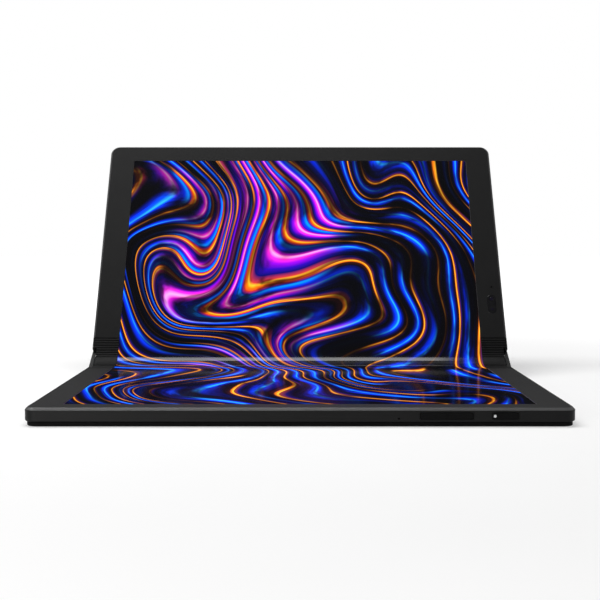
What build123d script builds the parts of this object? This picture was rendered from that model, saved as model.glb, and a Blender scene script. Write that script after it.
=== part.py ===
from build123d import *
from math import atan2, cos, degrees, pi, radians, sin, sqrt, tan
import os

# Driving dimensions in millimetres and degrees. X runs along the fold, Y to the back, Z up.
width = 236.0                # across the computer, along the fold
half_length = 149.7          # outer edge of a half to the middle of the fold
lean = 30.7                  # how far the lid leans back from upright
shell_height = 6.0           # casing of one half, floor to bezel face
groove = 0.35                # dark line between the casing and the leather cover
cover_thick = 1.75
cover_inset = 0.9
corner_radius = 5.5
edge_chamfer = 1.1
bottom_round = 0.5

# Fold mechanism: one axis in each half, with four small gears between them.
axis_spacing = 9.9
axis_drop = 2.2              # axes below the bezel face
fold_radius = 14.25         # bend of the display face in the open pose
fold_run = 1.0               # straight stretch at each end of the bent display
shaft_radius = 0.9
barrel_radius = 1.6
running_gap = 0.05
gear_module = 0.3
arm_gear_teeth = 9
idler_teeth = 13
idler_spread = 1.95          # idler centres from the middle of the spine
tooth_backlash = 0.09
cap_radius = 5.4
cap_thick = 0.8
gear_width = 1.1
side_gap = 0.12
pocket_gap = 0.3             # round the end cap, in each half
spine_thick = 0.4
spine_drop = 4.05            # top of the spine plate below the axes
bracket_width = 3.0
bracket_leg = 1.1            # half the width of a leg
bracket_foot = 0.55
barrel_width = 3.6

# Casing of one half
wall = 1.5
floor = 0.8
end_wall = 1.2
end_gap = 0.3                # from a half's inner end to its axis
hinge_room = 27.0            # kept free for the hinge arm, from the axis
arm_back = 22.0
arm_thick = 1.2
arm_screw_pitch = 6.5
bezel_thick = 1.2
bezel_lip_thick = 0.35
bezel_lip = 1.2              # how far the lip lies over the display's edge
bezel_side = 15.0
bezel_end = 11.0
flex_thick = 0.6             # rubber bezel across the fold
flex_start = 12.6            # its joint with the rigid bezel, from the axis
rib_count = 8
rib_pitch = 1.5
rib_first = 0.6              # nearest groove to the fold, from the axis
rib_width = 0.5
rib_depth = 0.25
display_drop = 0.4
display_thick = 0.7
plate_thick = 0.5
rail_width = 1.4

# Leather cover
strip_thick = 0.6
strip_drop = 4.5             # inside of the spine leather below the axes
strip_side_inset = 2.2
cover_edge_thick = 0.75      # thin margin that slides over the strip
cover_taper = 6.0
slide_rest = 10.4            # lid cover's edge from the lid's axis, half open
slide_margin = 17.0
slide_per_radian = 2 * (strip_drop + strip_thick / 2)
slide_clearance = 0.07
slide_rail_length = 70.0
slide_rail_start = 40.0
slide_rail_x = 70.0
slide_neck = 3.0
slide_head = 6.0
slide_head_thick = 0.5

# Stand in the base cover
stand_side = 5.6             # left of the stand's pocket, to the side of the casing
stand_reach = 88.0
stand_width = 112.0
stand_y = -8.0
stand_thick = 1.5
stand_gap = 0.4
stand_corner = 6.0
stand_pin_radius = 0.35
stand_pin_length = 6.0
finger_radius = 7.0

# Front controls, by distance from the right side and height above the table
button_height = 3.0
button_z = 4.68
button_gap = 0.15
button_proud = 0.3
button_flange = 0.6
rocker_inset = 55.6
rocker_length = 22.8
rocker_pin_radius = 0.7
power_inset = 30.6
power_length = 11.2
light_inset = 35.2
light_radius = 0.6
mic_inset = 76.0
mic_z = 3.6
mic_radius = 0.45

# Sockets, tray and vents
port_width = 8.34
port_height = 2.56
port_wall = 0.3
port_depth = 7.3
port_base_y = -40.0          # from the base axis
port_lid_inset = 56.0         # from the lid's left side
port_level = -1.2            # socket centre against the axes' height
tray_y = -58.0
tray_length = 15.0
tray_width = 12.3
tray_thick = 0.9
tray_gap = 0.1
slot_radius = 0.6
slot_pitch = 2.2
speaker_slots = 12
fin_count = 15
speaker_y = -96.0
vent_slots = 10
vent_y = -40.0

# Pieces inside, placed from the casing's sides and from the axis of their half
board_thick = 0.8
board_left = 56.0            # ends of the main board from the sides
board_right = 58.0
board_front = 64.0
board_back = 8.0
io_width = 24.4
io_side = 2.6
io_front = 66.6
io_back = 30.0
ssd_inset = 41.0
ssd_width = 22.0
ssd_length = 42.0
ssd_y = -35.0
fan_inset = 39.0
fan_y = -35.0
fan_size = 32.0
fins_inset = 15.6
fins_width = 5.8
fins_length = 21.0
pipe_width = 6.0
display_board_x = 58.0
display_board_front = 22.0
board_level = -1.9
screw_radius = 0.8
screw_head_radius = 1.4
screw_head_thick = 0.4
screw_length = 1.5
battery_gap = 0.5
cable_x = 20.0
cable_width = 24.0
cable_thick = 0.1
cable_notch = 4.2            # opening in each half's floor for the cable, from the axis
camera_inset = 5.7           # camera from the lid's right side
camera_y = 32.6
camera_length = 14.0
camera_width = 5.5
lens_y = 36.5
lid_mic_y = 45.0

# Worked out from the above
fold_total = 90 - lean
fold_each = fold_total / 2
turn = radians(fold_each)
half_width = width / 2
body_top = cover_thick + groove + shell_height
axis_z = body_top - axis_drop
reach = half_length - axis_spacing / 2          # outer edge of a half to its axis
axis_y = reach / 2
shell_low = axis_drop - shell_height
floor_top = shell_low + floor
cover_in = shell_low - groove
cover_out = cover_in - cover_thick
bezel_low = axis_drop - bezel_thick
flex_low = axis_drop - flex_thick
display_top = axis_drop - display_drop
display_low = display_top - display_thick
plate_low = display_low - plate_thick
opening_x = half_width - bezel_side
panel_x = opening_x + bezel_lip
panel_end = reach - bezel_end + bezel_lip
pocket_x = half_width - cap_thick - side_gap - gear_width - 2 * side_gap
pocket_radius = cap_radius + pocket_gap
barrel_x = panel_x + 0.1
bracket_x = pocket_x - bracket_width - 2.2
middle = axis_spacing / 2
rocker_x = half_width - rocker_inset
power_x = half_width - power_inset
light_x = half_width - light_inset
mic_x = half_width - mic_inset
camera_x = half_width - camera_inset
port_lid_x = port_lid_inset - half_width
stand_axis_x = stand_side + stand_gap + stand_reach - half_width
cable_low_x = -cable_x - cable_width / 2
cable_high_x = -cable_x + cable_width / 2
bend_y = (middle - display_top * sin(turn)) / cos(turn) - fold_radius * tan(turn)
bend_z = display_top + fold_radius


def box(x0, x1, y0, y1, z0, z1):
    return Pos((x0 + x1) / 2, (y0 + y1) / 2, (z0 + z1) / 2) * Box(x1 - x0, y1 - y0, z1 - z0)


def rod_x(y, z, radius, x0, x1):
    return extrude(Plane.YZ.offset(x0) * Pos(y, z) * Circle(radius), x1 - x0)


def rod_z(x, y, radius, z0, z1):
    return extrude(Pos(x, y, z0) * Circle(radius), z1 - z0)


def profile_x(outline, x0, x1):
    return extrude(Plane.YZ.offset(x0) * outline, x1 - x0)


def rounded_pad(x, y, length_x, length_y, radius, z0, z1):
    return extrude(Pos(x, y, z0) * RectangleRounded(length_x, length_y, radius), z1 - z0)


def fused(pieces):
    whole = pieces[0]
    for piece in pieces[1:]:
        whole = whole + piece
    return whole


def group(pieces):
    return Compound(children=[piece.solid() for piece in pieces])


def flip(shape):
    return mirror(shape, Plane.XZ)


def other_side(shape):
    return mirror(shape, Plane.YZ)


# Each half is drawn flat with its own axis at the origin, then put in its open place.
base_place = Location((0, axis_y, axis_z))
spine_place = base_place * Location((0, 0, 0), (fold_each, 0, 0))
lid_place = spine_place * Location((0, axis_spacing, 0)) * Location((0, 0, 0), (fold_each, 0, 0))

os.makedirs("parts", exist_ok=True)


def save(shape, place, name):
    export_step(place * shape, "parts/" + name + ".step")


# Casing, bezel and display of a half, which runs from its axis towards -Y

def half_blank():
    length = reach - end_gap
    outline = Pos(0, -end_gap - length / 2) * Rectangle(width, length)
    outline = fillet(outline.vertices().group_by(Axis.Y)[0], corner_radius)
    blank = extrude(Pos(0, 0, shell_low) * outline, shell_height)
    top_edges = blank.faces().sort_by(Axis.Z)[-1].edges().sort_by(Axis.Y)[:-1]
    blank = chamfer(top_edges, edge_chamfer)
    low_edges = blank.faces().sort_by(Axis.Z)[0].edges().sort_by(Axis.Y)[:-1]
    blank = fillet(low_edges, bottom_round)
    for side in (-1, 1):
        x0, x1 = sorted((side * pocket_x, side * (half_width + 1)))
        blank -= rod_x(0, 0, pocket_radius, x0, x1)
        blank -= box(x0, x1, -pocket_radius, 1, 0, axis_drop + 1)
    return blank


def half_shell(blank):
    low = blank & box(-width, width, -width, 1, shell_low - 1, bezel_low)
    raised = blank & box(-width, width, -flex_start, 1, bezel_low - 0.1, flex_low)
    shell = low + raised
    inner_x = half_width - wall
    cavity_y = -end_gap - end_wall
    cavity = box(-inner_x, inner_x, -reach + wall, cavity_y, floor_top, axis_drop)
    shell -= fillet(cavity.edges().filter_by(Axis.Z).group_by(Axis.Y)[0], corner_radius - wall)
    shell -= box(-panel_x, panel_x, -panel_end, 1, plate_low, axis_drop)
    for side in (-1, 1):
        x0, x1 = sorted((side * (panel_x - 0.3), side * inner_x))
        shell -= box(x0, x1, -barrel_radius - 0.6, 1, shell_low - 1, axis_drop)
        shell -= box(x0, x1, cavity_y - 1, 1, floor_top, axis_drop)
    rib_y = -panel_end - rail_width
    rails = [box(-panel_x, panel_x, -panel_end - 0.2, -panel_end + rail_width, floor_top, plate_low),
             box(-panel_x, panel_x, rib_y - 0.2, -panel_end - 0.2, floor_top, bezel_low)]
    for side in (-1, 1):
        x0, x1 = sorted((side * (panel_x - rail_width), side * (panel_x - 0.1)))
        rails.append(box(x0, x1, rib_y, cavity_y, floor_top, plate_low))
        x0, x1 = sorted((side * (panel_x + 0.2), side * (panel_x + 0.2 + rail_width)))
        rails.append(box(x0, x1, rib_y, -hinge_room, floor_top, bezel_low))
    return fused([shell] + rails)


def half_bezel(blank):
    frame = blank & box(-width, width, -width, -flex_start, bezel_low, axis_drop)
    frame -= box(-opening_x, opening_x, -reach + bezel_end, 1, bezel_low, axis_drop + 1)
    seat = axis_drop - bezel_lip_thick
    return frame - box(-panel_x - 0.1, panel_x + 0.1, -panel_end - 0.1, 1, bezel_low - 1, seat)


def half_display():
    return box(-panel_x, panel_x, -panel_end, bend_y - fold_run, display_low, display_top)


def half_plate():
    return box(-panel_x, panel_x, -panel_end, bend_y, plate_low, display_low)


arm_foot_x = bracket_x + bracket_width
arm_screw_x = (barrel_x + barrel_width + arm_foot_x) / 2
arm_screws = [-arm_back + 2.6 + arm_screw_pitch * step for step in range(3)]


def hinge_arm():
    low = floor_top
    foot = box(barrel_x, arm_foot_x, -arm_back, -5.0, low, low + arm_thick)
    foot = fillet(foot.edges().filter_by(Axis.Z), 0.8)
    rise = make_face(Polyline((-9.0, low), (-3.4, low), (-barrel_radius * 0.7, -barrel_radius * 0.7),
                              (0, 0), (-barrel_radius * 0.5, barrel_radius * 0.85), (-9.0, low + arm_thick),
                              close=True))
    arm = foot + profile_x(rise, barrel_x, barrel_x + barrel_width)
    arm += rod_x(0, 0, barrel_radius, barrel_x, barrel_x + barrel_width)
    arm -= rod_x(0, 0, shaft_radius, barrel_x - 1, barrel_x + barrel_width + 1)
    for y in arm_screws:
        arm -= rod_z(arm_screw_x, y, screw_radius + 0.1, low - 1, low + 3)
    return arm


def screw(x, y, top):
    head = rod_z(x, y, screw_head_radius, top, top + screw_head_thick)
    return head + rod_z(x, y, screw_radius, top - screw_length, top + 0.1)


def screw_post(x, y, top):
    return rod_z(x, y, 2.0, floor_top - 0.2, top)


def screw_bore(x, y, top):
    return rod_z(x, y, screw_radius, max(shell_low + 0.3, top - screw_length), top + 1)


# Gear teeth follow the involute outside the base circle and are straight inside it.

def gear_outline(teeth, first_tooth):
    pitch_r = gear_module * teeth / 2
    base_r = pitch_r * cos(radians(20))
    tip_r = pitch_r + 0.8 * gear_module
    root_r = pitch_r - 1.15 * gear_module

    def half_angle(radius):
        def involute(angle):
            return tan(angle) - angle
        at_pitch = pi / (2 * teeth) - tooth_backlash / (2 * pitch_r)
        reached = max(radius, base_r)
        lean_here = involute(radians(20)) - involute(sqrt(max(0, (reached / base_r) ** 2 - 1)) and
                                                     atan2(sqrt(reached ** 2 - base_r ** 2), base_r))
        return at_pitch + lean_here

    radii = [root_r, base_r, pitch_r, tip_r] if root_r < base_r else [root_r, pitch_r, tip_r]
    points = []
    for tooth in range(teeth):
        centre = radians(first_tooth) + 2 * pi * tooth / teeth
        flank = [(radius, -half_angle(radius)) for radius in radii]
        flank += [(radius, half_angle(radius)) for radius in reversed(radii)]
        points += [(radius * cos(centre + angle), radius * sin(centre + angle)) for radius, angle in flank]
    return make_face(Polyline(*points, close=True))


def mate_tooth(tooth, teeth, mate_teeth, direction):
    # A mate's tooth angle, from a tooth of this gear and the direction to the mate.
    return direction + 180 - (tooth - direction) * teeth / mate_teeth + 180 / mate_teeth


arm_gear_r = gear_module * arm_gear_teeth / 2
idler_r = gear_module * idler_teeth / 2
idler_drop = sqrt((arm_gear_r + idler_r) ** 2 - (middle - idler_spread) ** 2)
idler_places = [(middle - idler_spread, -idler_drop), (middle + idler_spread, -idler_drop)]
mesh_angle = degrees(atan2(-idler_drop, middle - idler_spread))
teeth_at = [mesh_angle]
teeth_at.append(mate_tooth(teeth_at[0], arm_gear_teeth, idler_teeth, mesh_angle))
teeth_at.append(mate_tooth(teeth_at[1], idler_teeth, idler_teeth, 0))
teeth_at.append(mate_tooth(teeth_at[2], idler_teeth, arm_gear_teeth, -mesh_angle))
gear_x0 = half_width - cap_thick - side_gap - gear_width
gear_x1 = gear_x0 + gear_width
idler_pin_radius = 0.6


def arm_gear_shaft(place_y, tooth):
    gear = profile_x(Pos(place_y, 0) * gear_outline(arm_gear_teeth, tooth), gear_x0, gear_x1)
    shaft = rod_x(place_y, 0, shaft_radius, barrel_x, gear_x0 + 0.2)
    return gear + shaft


def idler(index):
    y, z = idler_places[index]
    wheel = profile_x(Pos(y, z) * gear_outline(idler_teeth, teeth_at[index + 1]), gear_x0, gear_x1)
    return wheel - rod_x(y, z, idler_pin_radius + running_gap, gear_x0 - 1, gear_x1 + 1)


# Spine

def spine_plate():
    plate_x = half_width - cap_thick
    plate = box(-plate_x, plate_x, 0, axis_spacing, -spine_drop - spine_thick, -spine_drop)
    plate -= box(cable_low_x - 1, cable_high_x + 1, 1.5, axis_spacing - 1.5,
                 -spine_drop - spine_thick - 1, -spine_drop + 1)
    return plate


def spine_bracket():
    # A U in side view, which leaves the middle free for the display to bend into.
    ring = barrel_radius - running_gap
    foot = Rectangle(axis_spacing + 2 * bracket_leg, bracket_foot)
    outline = Pos(middle, -spine_drop + bracket_foot / 2) * foot
    for y in (0, axis_spacing):
        outline += Pos(y, -spine_drop / 2) * Rectangle(2 * bracket_leg, spine_drop)
        outline += Pos(y, 0) * Circle(ring)
    for y in (0, axis_spacing):
        outline -= Pos(y, 0) * Circle(shaft_radius + running_gap)
    return profile_x(outline, bracket_x, bracket_x + bracket_width)


def spine_cap():
    x0 = half_width - cap_thick
    body = rod_x(0, 0, cap_radius, x0, half_width)
    body += rod_x(axis_spacing, 0, cap_radius, x0, half_width)
    body += box(x0, half_width, 0, axis_spacing, -cap_radius, cap_radius)
    body = body & box(x0 - 1, half_width + 1, -20, 30, -20, axis_drop - 0.2)
    body = chamfer(body.faces().sort_by(Axis.X)[-1].edges(), 0.3)
    edge = sqrt(cap_radius ** 2 - axis_drop ** 2)
    roof = box(pocket_x + 0.15, x0 + 0.1, -edge, axis_spacing + edge, axis_drop - 0.45, axis_drop - 0.2)
    body += roof
    for y, z in idler_places:
        body += rod_x(y, z, idler_pin_radius, gear_x0, x0 + 0.1)
    return body


def disc_springs():
    # Four cupped washers on each shaft, between the arm's barrel and the bracket.
    room = bracket_x - barrel_x - barrel_width
    each = room / 4
    stacks = []
    for y in (0, axis_spacing):
        for step in range(4):
            x0 = barrel_x + barrel_width + each * step
            cup = rod_x(y, 0, barrel_radius - 0.1, x0, x0 + each)
            stacks.append(cup - rod_x(y, 0, shaft_radius + running_gap, x0 - 1, x0 + each + 1))
    return [fused(stacks[:4]), fused(stacks[4:])]


# Soft layers that cross the fold. Depth is measured down from the axes' height.

def fold_layer(top, low, past):
    # Band of the bent layer, with a straight stretch at each end.
    top_r = bend_z - top
    low_r = bend_z - low
    centre = (bend_y, bend_z)

    def on_lid(point):
        # The mirror image of a point about the middle of the fold, in the base's frame.
        y, z = point
        along = (middle * cos(turn), middle * sin(turn))
        normal = (cos(turn), sin(turn))
        offset = (y - along[0]) * normal[0] + (z - along[1]) * normal[1]
        return (y - 2 * offset * normal[0], z - 2 * offset * normal[1])

    def at(radius, angle):
        return (centre[0] + radius * sin(angle), centre[1] - radius * cos(angle))

    a_top, a_low = (bend_y - past, top), (bend_y - past, low)
    b_top, b_low = at(top_r, 0), at(low_r, 0)
    c_top, c_low = on_lid(b_top), on_lid(b_low)
    d_top, d_low = on_lid(a_top), on_lid(a_low)
    edges = [Line(a_low, a_top), Line(a_top, b_top), ThreePointArc(b_top, at(top_r, turn), c_top),
             Line(c_top, d_top), Line(d_top, d_low), Line(d_low, c_low),
             ThreePointArc(c_low, at(low_r, turn), b_low), Line(b_low, a_low)]
    return make_face(Wire(edges))


def bezel_fold():
    run = flex_start + bend_y
    x_in = panel_x + 0.1
    band = profile_x(fold_layer(axis_drop, flex_low, run), x_in, half_width)
    seat = axis_drop - bezel_lip_thick
    band += profile_x(fold_layer(axis_drop, seat, run), opening_x, x_in)
    grooves = []
    for step in range(rib_count):
        y = -rib_first - step * rib_pitch
        grooves.append(box(opening_x + 1, half_width + 1, y - rib_width / 2, y + rib_width / 2,
                           axis_drop - rib_depth, axis_drop + 1))
    cutter = fused(grooves)
    edge = half_width - edge_chamfer
    corner = make_face(Polyline((edge, axis_drop + 0.01), (half_width + 1, axis_drop + 0.01),
                                (half_width + 1, axis_drop - edge_chamfer - 1), close=True))
    corner = extrude(Plane.XZ * corner, flex_start + 1)
    notch = box(pocket_x - 0.1, half_width + 1, -pocket_radius, 4, -3, axis_drop + 1)
    trims = [cutter, corner, notch]
    to_lid = base_place.inverse() * lid_place
    for trim in trims:
        band -= trim
        band -= to_lid * flip(trim)
    between = Location((0, 0, 0), (fold_each, 0, 0)) * box(pocket_x - 0.1, half_width + 1, -1,
                                                          axis_spacing + 1, -3, 4)
    return band - between


def leather_spine():
    # Leather drawn round both axes, with its tail under the lid cover's margin.
    r_in, r_out = strip_drop, strip_drop + strip_thick
    tail = slide_rest + slide_margin * 0.4
    d = axis_spacing
    first = ring_sector(r_out, r_in)
    mid = make_face(Polyline((0, -r_out), (d, -r_out), (d, -r_in), (0, -r_in), close=True))
    x = half_width - strip_side_inset
    strip = profile_x(first, -x, x)
    spine_part = Location((0, 0, 0), (fold_each, 0, 0)) * profile_x(mid, -x, x)
    to_lid = base_place.inverse() * lid_place
    last = to_lid * flip(profile_x(first, -x, x))
    end = to_lid * box(-x, x, 0, tail, -r_out, -r_in)
    start = box(-x, x, -end_gap, 0, -r_out, -r_in)
    return fused([start, strip, spine_part, last, end])


def ring_sector(outer, inner):
    # A ring sector below the axis, from straight down through the angle of one fold joint.
    a0, a1 = -pi / 2, -pi / 2 + turn
    am = (a0 + a1) / 2

    def at(radius, angle):
        return (radius * cos(angle), radius * sin(angle))
    edges = [Line(at(inner, a0), at(outer, a0)), ThreePointArc(at(outer, a0), at(outer, am), at(outer, a1)),
             Line(at(outer, a1), at(inner, a1)), ThreePointArc(at(inner, a1), at(inner, am), at(inner, a0))]
    return make_face(Wire(edges))


def flex_cable():
    # Ribbon from the main board, down over the spine plate and up into the lid.
    deep = -spine_drop + 0.06
    start = [(-20, board_level + board_thick + 0.1), (-7.2, board_level + board_thick + 0.1),
             (-3.2, floor_top + 0.2), (-0.2, deep)]
    points = list(start)

    def turned(y, z):
        return (y * cos(turn) - z * sin(turn), y * sin(turn) + z * cos(turn))

    def in_lid(y, z):
        y2, z2 = turned(-y, z)
        return turned(y2 + axis_spacing, z2)
    points += [turned(2.2, deep), turned(axis_spacing - 2.2, deep)]
    points += [in_lid(y, z) for y, z in reversed(start)]
    line = FilletPolyline(*points, radius=0.8)
    return profile_x(trace(line, cable_thick), cable_low_x, cable_high_x)


# Base half

button_level = button_z - axis_z
front = -reach
channel_y = front + wall


def side_slots(count, centre_y, height):
    slots = []
    for step in range(count):
        y = centre_y + (step - (count - 1) / 2) * slot_pitch
        outline = Pos(y, button_level) * Rot(0, 0, 90) * SlotOverall(height, 2 * slot_radius)
        slots.append(extrude(Plane.YZ.offset(half_width - wall - 1) * outline, wall + 2))
    return slots


def window_y(x, z, length, height, radius, y0, y1):
    shape = extrude(Plane.XZ * Pos(x, z) * RectangleRounded(length, height, radius), y0 - y1)
    return Pos(0, y0, 0) * shape


rocker_pin_y = channel_y + 1.3
switch_y = front + 5.0
tray_level = board_level + board_thick + 0.85
tray_low = tray_level - tray_thick / 2
tray_top = tray_level + tray_thick / 2
board_top = board_level + board_thick


def on_board(across, along):
    # A place on the main board, as shares of its width from the left and of its depth from the back.
    x0, x1 = board_left - half_width, half_width - board_right
    return (x0 + across * (x1 - x0), -board_back - along * (board_front - board_back))


board_posts = [on_board(0.066, 0.893), on_board(0.066, 0.107), on_board(0.475, 0.929),
               on_board(0.934, 0.393), on_board(0.934, 0.071)]
io_x = io_side + io_width - half_width
io_posts = [(io_x - 6, -io_front + 3.6), (io_x - 6, -io_back - 4)]
ssd_x = ssd_inset - half_width
ssd_posts = [(ssd_x, ssd_y - ssd_length / 2 + 2), (ssd_x, ssd_y + ssd_length / 2 - 2)]
fan_x = half_width - fan_inset


def base_chassis():
    shell = half_shell(half_blank())
    for x, y in board_posts + io_posts + ssd_posts:
        shell += screw_post(x, y, board_level)
        shell -= screw_bore(x, y, board_top)
    for side in (-1, 1):
        for y in arm_screws:
            shell -= screw_bore(side * arm_screw_x, y, floor_top + arm_thick)
    pad = 2 * button_gap
    for x, length in ((rocker_x, rocker_length), (power_x, power_length)):
        shell -= window_y(x, button_level, length + pad, button_height + pad, 0.9, front - 1, channel_y + 0.5)
    shell -= extrude(Plane.XZ.offset(-front - wall - 1) * Pos(mic_x, mic_z - axis_z) * Circle(mic_radius),
                     wall + 2)
    shell -= rod_z(rocker_x, rocker_pin_y, rocker_pin_radius + running_gap, floor_top - 0.5, floor_top + 1)
    shell -= port_block(0.05)
    shell -= tray_plate(tray_gap)
    shell -= box(-half_width - 1, -half_width + 15, tray_y - 7, tray_y + 7, tray_low - 0.2, tray_top + 0.2)
    shell -= box(-panel_x - 3, -panel_x + 3, tray_y - 14, -27, floor_top, axis_drop)
    for slot in side_slots(speaker_slots, speaker_y, 2.2) + side_slots(vent_slots, vent_y, 2.2):
        shell -= slot
    shell -= box(panel_x - 3, panel_x + 3, vent_y - 16, -27, floor_top, axis_drop)
    return shell - cable_window()


def cable_window():
    return box(cable_low_x - 1, cable_high_x + 1, -cable_notch, 1,
               shell_low - 0.01, axis_drop)


def port_shape(inset, depth, x0):
    outline = SlotOverall(port_width + 2 * port_wall + 2 * inset, port_height + 2 * port_wall + 2 * inset)
    return extrude(Plane.YZ.offset(x0) * Pos(port_base_y, port_level) * outline, depth)


def port_block(inset):
    return port_shape(inset, port_depth + 1, -half_width - 1)


def usb_port():
    # Socket shell with its tongue, drawn on the left wall.
    x0 = -half_width + 0.1
    shell = port_shape(0, port_depth, x0)
    hollow = extrude(Plane.YZ.offset(x0 - 1) * Pos(port_base_y, port_level)
                     * SlotOverall(port_width, port_height), port_depth - 0.5 + 1)
    tongue = box(x0 + 0.8, x0 + port_depth, port_base_y - 3.35, port_base_y + 3.35,
                 port_level - 0.35, port_level + 0.35)
    return shell - hollow + tongue


def tray_plate(extra):
    outline = SlotOverall(tray_width + 2.4 + 2 * extra, 1.8 + 2 * extra)
    return extrude(Plane.YZ.offset(-half_width - (1 if extra else 0)) * Pos(tray_y, tray_level) * outline,
                   0.8 + (1 + extra if extra else 0))


def sim_tray():
    body = box(-half_width + 0.7, -half_width + tray_length, tray_y - tray_width / 2, tray_y + tray_width / 2,
               tray_low, tray_top)
    card = box(-half_width + 2.2, -half_width + tray_length - 1, tray_y - 4.6, tray_y + 4.6,
               tray_low + 0.25, tray_top + 1)
    eject = rod_x(tray_y + tray_width / 2, tray_level, 0.4, -half_width - 1, -half_width + 2)
    return tray_plate(0) + body - card - eject


def sim_reader():
    x0, x1 = -half_width + 4.0, -half_width + tray_length + 1.6
    y0, y1 = tray_y - tray_width / 2 - 1.0, tray_y + tray_width / 2 + 1.0
    shell = box(x0, x1, y0, y1, board_top, tray_top + 0.4)
    room = box(x0 - 1, -half_width + tray_length + 0.4, y0 + 0.8, y1 - 0.8, tray_low - 0.12, tray_top + 0.12)
    return shell - room


def io_board():
    board = box(io_side - half_width, io_x, -io_front, -io_back, board_level, board_top)
    board -= box(-half_width, -half_width + port_depth + 0.1, port_base_y - 5, port_base_y + 5, -5, 1)
    for x, y in io_posts:
        board -= rod_z(x, y, screw_radius + 0.2, -5, 5)
    return board


def main_board():
    notch_low, notch_high = cable_low_x - 4, cable_high_x + 4
    notch_y = -board_back - 4
    outline = make_face(Polyline(on_board(0, 1), on_board(0.689, 1), on_board(0.689, 0.75),
                                 on_board(0.787, 0.75), on_board(0.787, 0.607), on_board(1, 0.607),
                                 on_board(1, 0),
                                 (notch_high, -board_back), (notch_high, notch_y), (notch_low, notch_y),
                                 (notch_low, -board_back), on_board(0, 0), close=True))
    board = extrude(Pos(0, 0, board_level) * outline, board_thick)
    board = chamfer(board.edges().filter_by(Axis.Z), 0.8)
    for x, y in board_posts:
        board -= rod_z(x, y, screw_radius + 0.2, -5, 5)
    return board


processor_at = (0.41, 0.5)
memory_at = (0.541, 0.5)
power_chip_at = (0.279, 0.5)


def chips():
    # Place, length along X and Y and height of each package on the main board.
    packages = [(on_board(*processor_at), 12, 12, 0.8), (on_board(*memory_at), 8, 11, 0.7),
                (on_board(*power_chip_at), 9, 9, 0.7), (on_board(0.754, 0.321), 10, 10, 0.8),
                (on_board(0.607, 0.821), 6, 5, 0.7), (on_board(0.344, 0.857), 7, 5, 0.7),
                (on_board(0.623, 0.179), 8, 6, 0.9), (on_board(0.869, 0.179), 5, 9, 0.9)]
    return [rounded_pad(*place, a, b, 0.4, board_top, board_top + h) for place, a, b, h in packages]


def shield():
    # A low frame round the processor, memory and power chips.
    x0, y = on_board(*power_chip_at)
    x1 = on_board(*memory_at)[0]
    x, length, breadth = (x0 + x1) / 2, x1 - x0 + 14, 19
    frame = rounded_pad(x, y, length, breadth, 1.5, board_top, board_top + 0.8)
    return frame - rounded_pad(x, y, length - 1, breadth - 1, 1.2, board_top, board_top + 2)


def ssd_module():
    x0, x1 = ssd_x - ssd_width / 2, ssd_x + ssd_width / 2
    board = box(x0, x1, ssd_y - ssd_length / 2, ssd_y + ssd_length / 2, board_level, board_top)
    for x, y in ssd_posts:
        board -= rod_z(x, y, screw_radius + 0.2, -5, 5)
    for along, share in ((-0.24, 0.33), (0.14, 0.28)):
        board += rounded_pad(ssd_x, ssd_y + ssd_length * along, ssd_width - 6, ssd_length * share, 0.4,
                             board_top - 0.1, board_top + 0.9)
    return board


def wireless_module():
    return rounded_pad(*on_board(0.09, 0.643), 12, 16, 0.6, board_top, board_top + 1.0)


def battery(y0, y1, cells):
    x = panel_x - rail_width - battery_gap
    low, high = floor_top, plate_low - 0.2
    tray = box(-x, x, y0, y1, low, low + 0.4)
    each = 2 * x / cells
    for cell in range(cells):
        centre = -x + each * (cell + 0.5)
        pouch = box(centre - each / 2 + 0.8, centre + each / 2 - 0.8, y0 + 0.8, y1 - 3.5, low + 0.3, high)
        tray += fillet(pouch.edges().filter_by(Axis.Z), 1.5)
    return tray + box(-x, x, y1 - 2.8, y1 - 0.6, low + 0.3, high - 1.0)


# Fan, with its rotor drawn round its own axis

fan_low = floor_top
fan_high = plate_low - 0.2
rotor_radius = 13.6
hub_radius = 6.5
blade_count = 23
blade_thick = 0.5
spindle_radius = 0.9


def fan_housing():
    half = fan_size / 2
    outer = rounded_pad(fan_x, fan_y, fan_size, fan_size, 5, fan_low, fan_high)
    room = rod_z(fan_x, fan_y, rotor_radius + 1.2, fan_low + 0.5, fan_high - 0.4)
    duct = box(fan_x, fan_x + half + 1, fan_y - half + 1, fan_y + 6, fan_low + 0.5, fan_high - 0.4)
    intake = rod_z(fan_x, fan_y, rotor_radius - 3.0, fan_high - 1, fan_high + 1)
    spindle = rod_z(fan_x, fan_y, spindle_radius, fan_low + 0.4, fan_high - 0.7)
    ear_x = fan_x - half + 1.5
    for y in (fan_y - half - 3.2, fan_y + half + 3.5):
        outer += rod_z(ear_x, y, 2.2, fan_low, fan_low + 0.8)
        outer += box(ear_x - 1.5, ear_x + 1.5, min(y, fan_y), max(y, fan_y), fan_low, fan_low + 0.8)
    return outer - room - duct - intake + spindle


def fan_rotor():
    low, high = fan_low + 0.7, fan_high - 0.6
    hub = rod_z(fan_x, fan_y, hub_radius, low, high)
    blade = box(hub_radius - 0.3, rotor_radius, -blade_thick / 2, blade_thick / 2, low, high - 0.3)
    for step in range(blade_count):
        angle = 360 * step / blade_count
        hub += Pos(fan_x, fan_y, 0) * Rot(0, 0, angle) * Pos(hub_radius, 0, 0) * Rot(0, 0, 28) \
            * Pos(-hub_radius, 0, 0) * blade
    return hub - rod_z(fan_x, fan_y, spindle_radius + running_gap, low - 1, high + 1)


def heat_pipe():
    # From the processor, round the fan and over the fins.
    x0, y0 = on_board(*processor_at)
    fins_x = half_width - fins_inset - fins_width / 2
    bend_at = fan_y - fan_size / 2 - 5.5
    line = FilletPolyline((x0 - 3, y0), (fan_x - 45, y0), (fan_x - 23, bend_at), (fins_x, bend_at),
                          (fins_x, fan_y + 3), radius=pipe_width)
    return extrude(Pos(0, 0, board_top + 0.8) * trace(line, pipe_width), 0.7)


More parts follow.
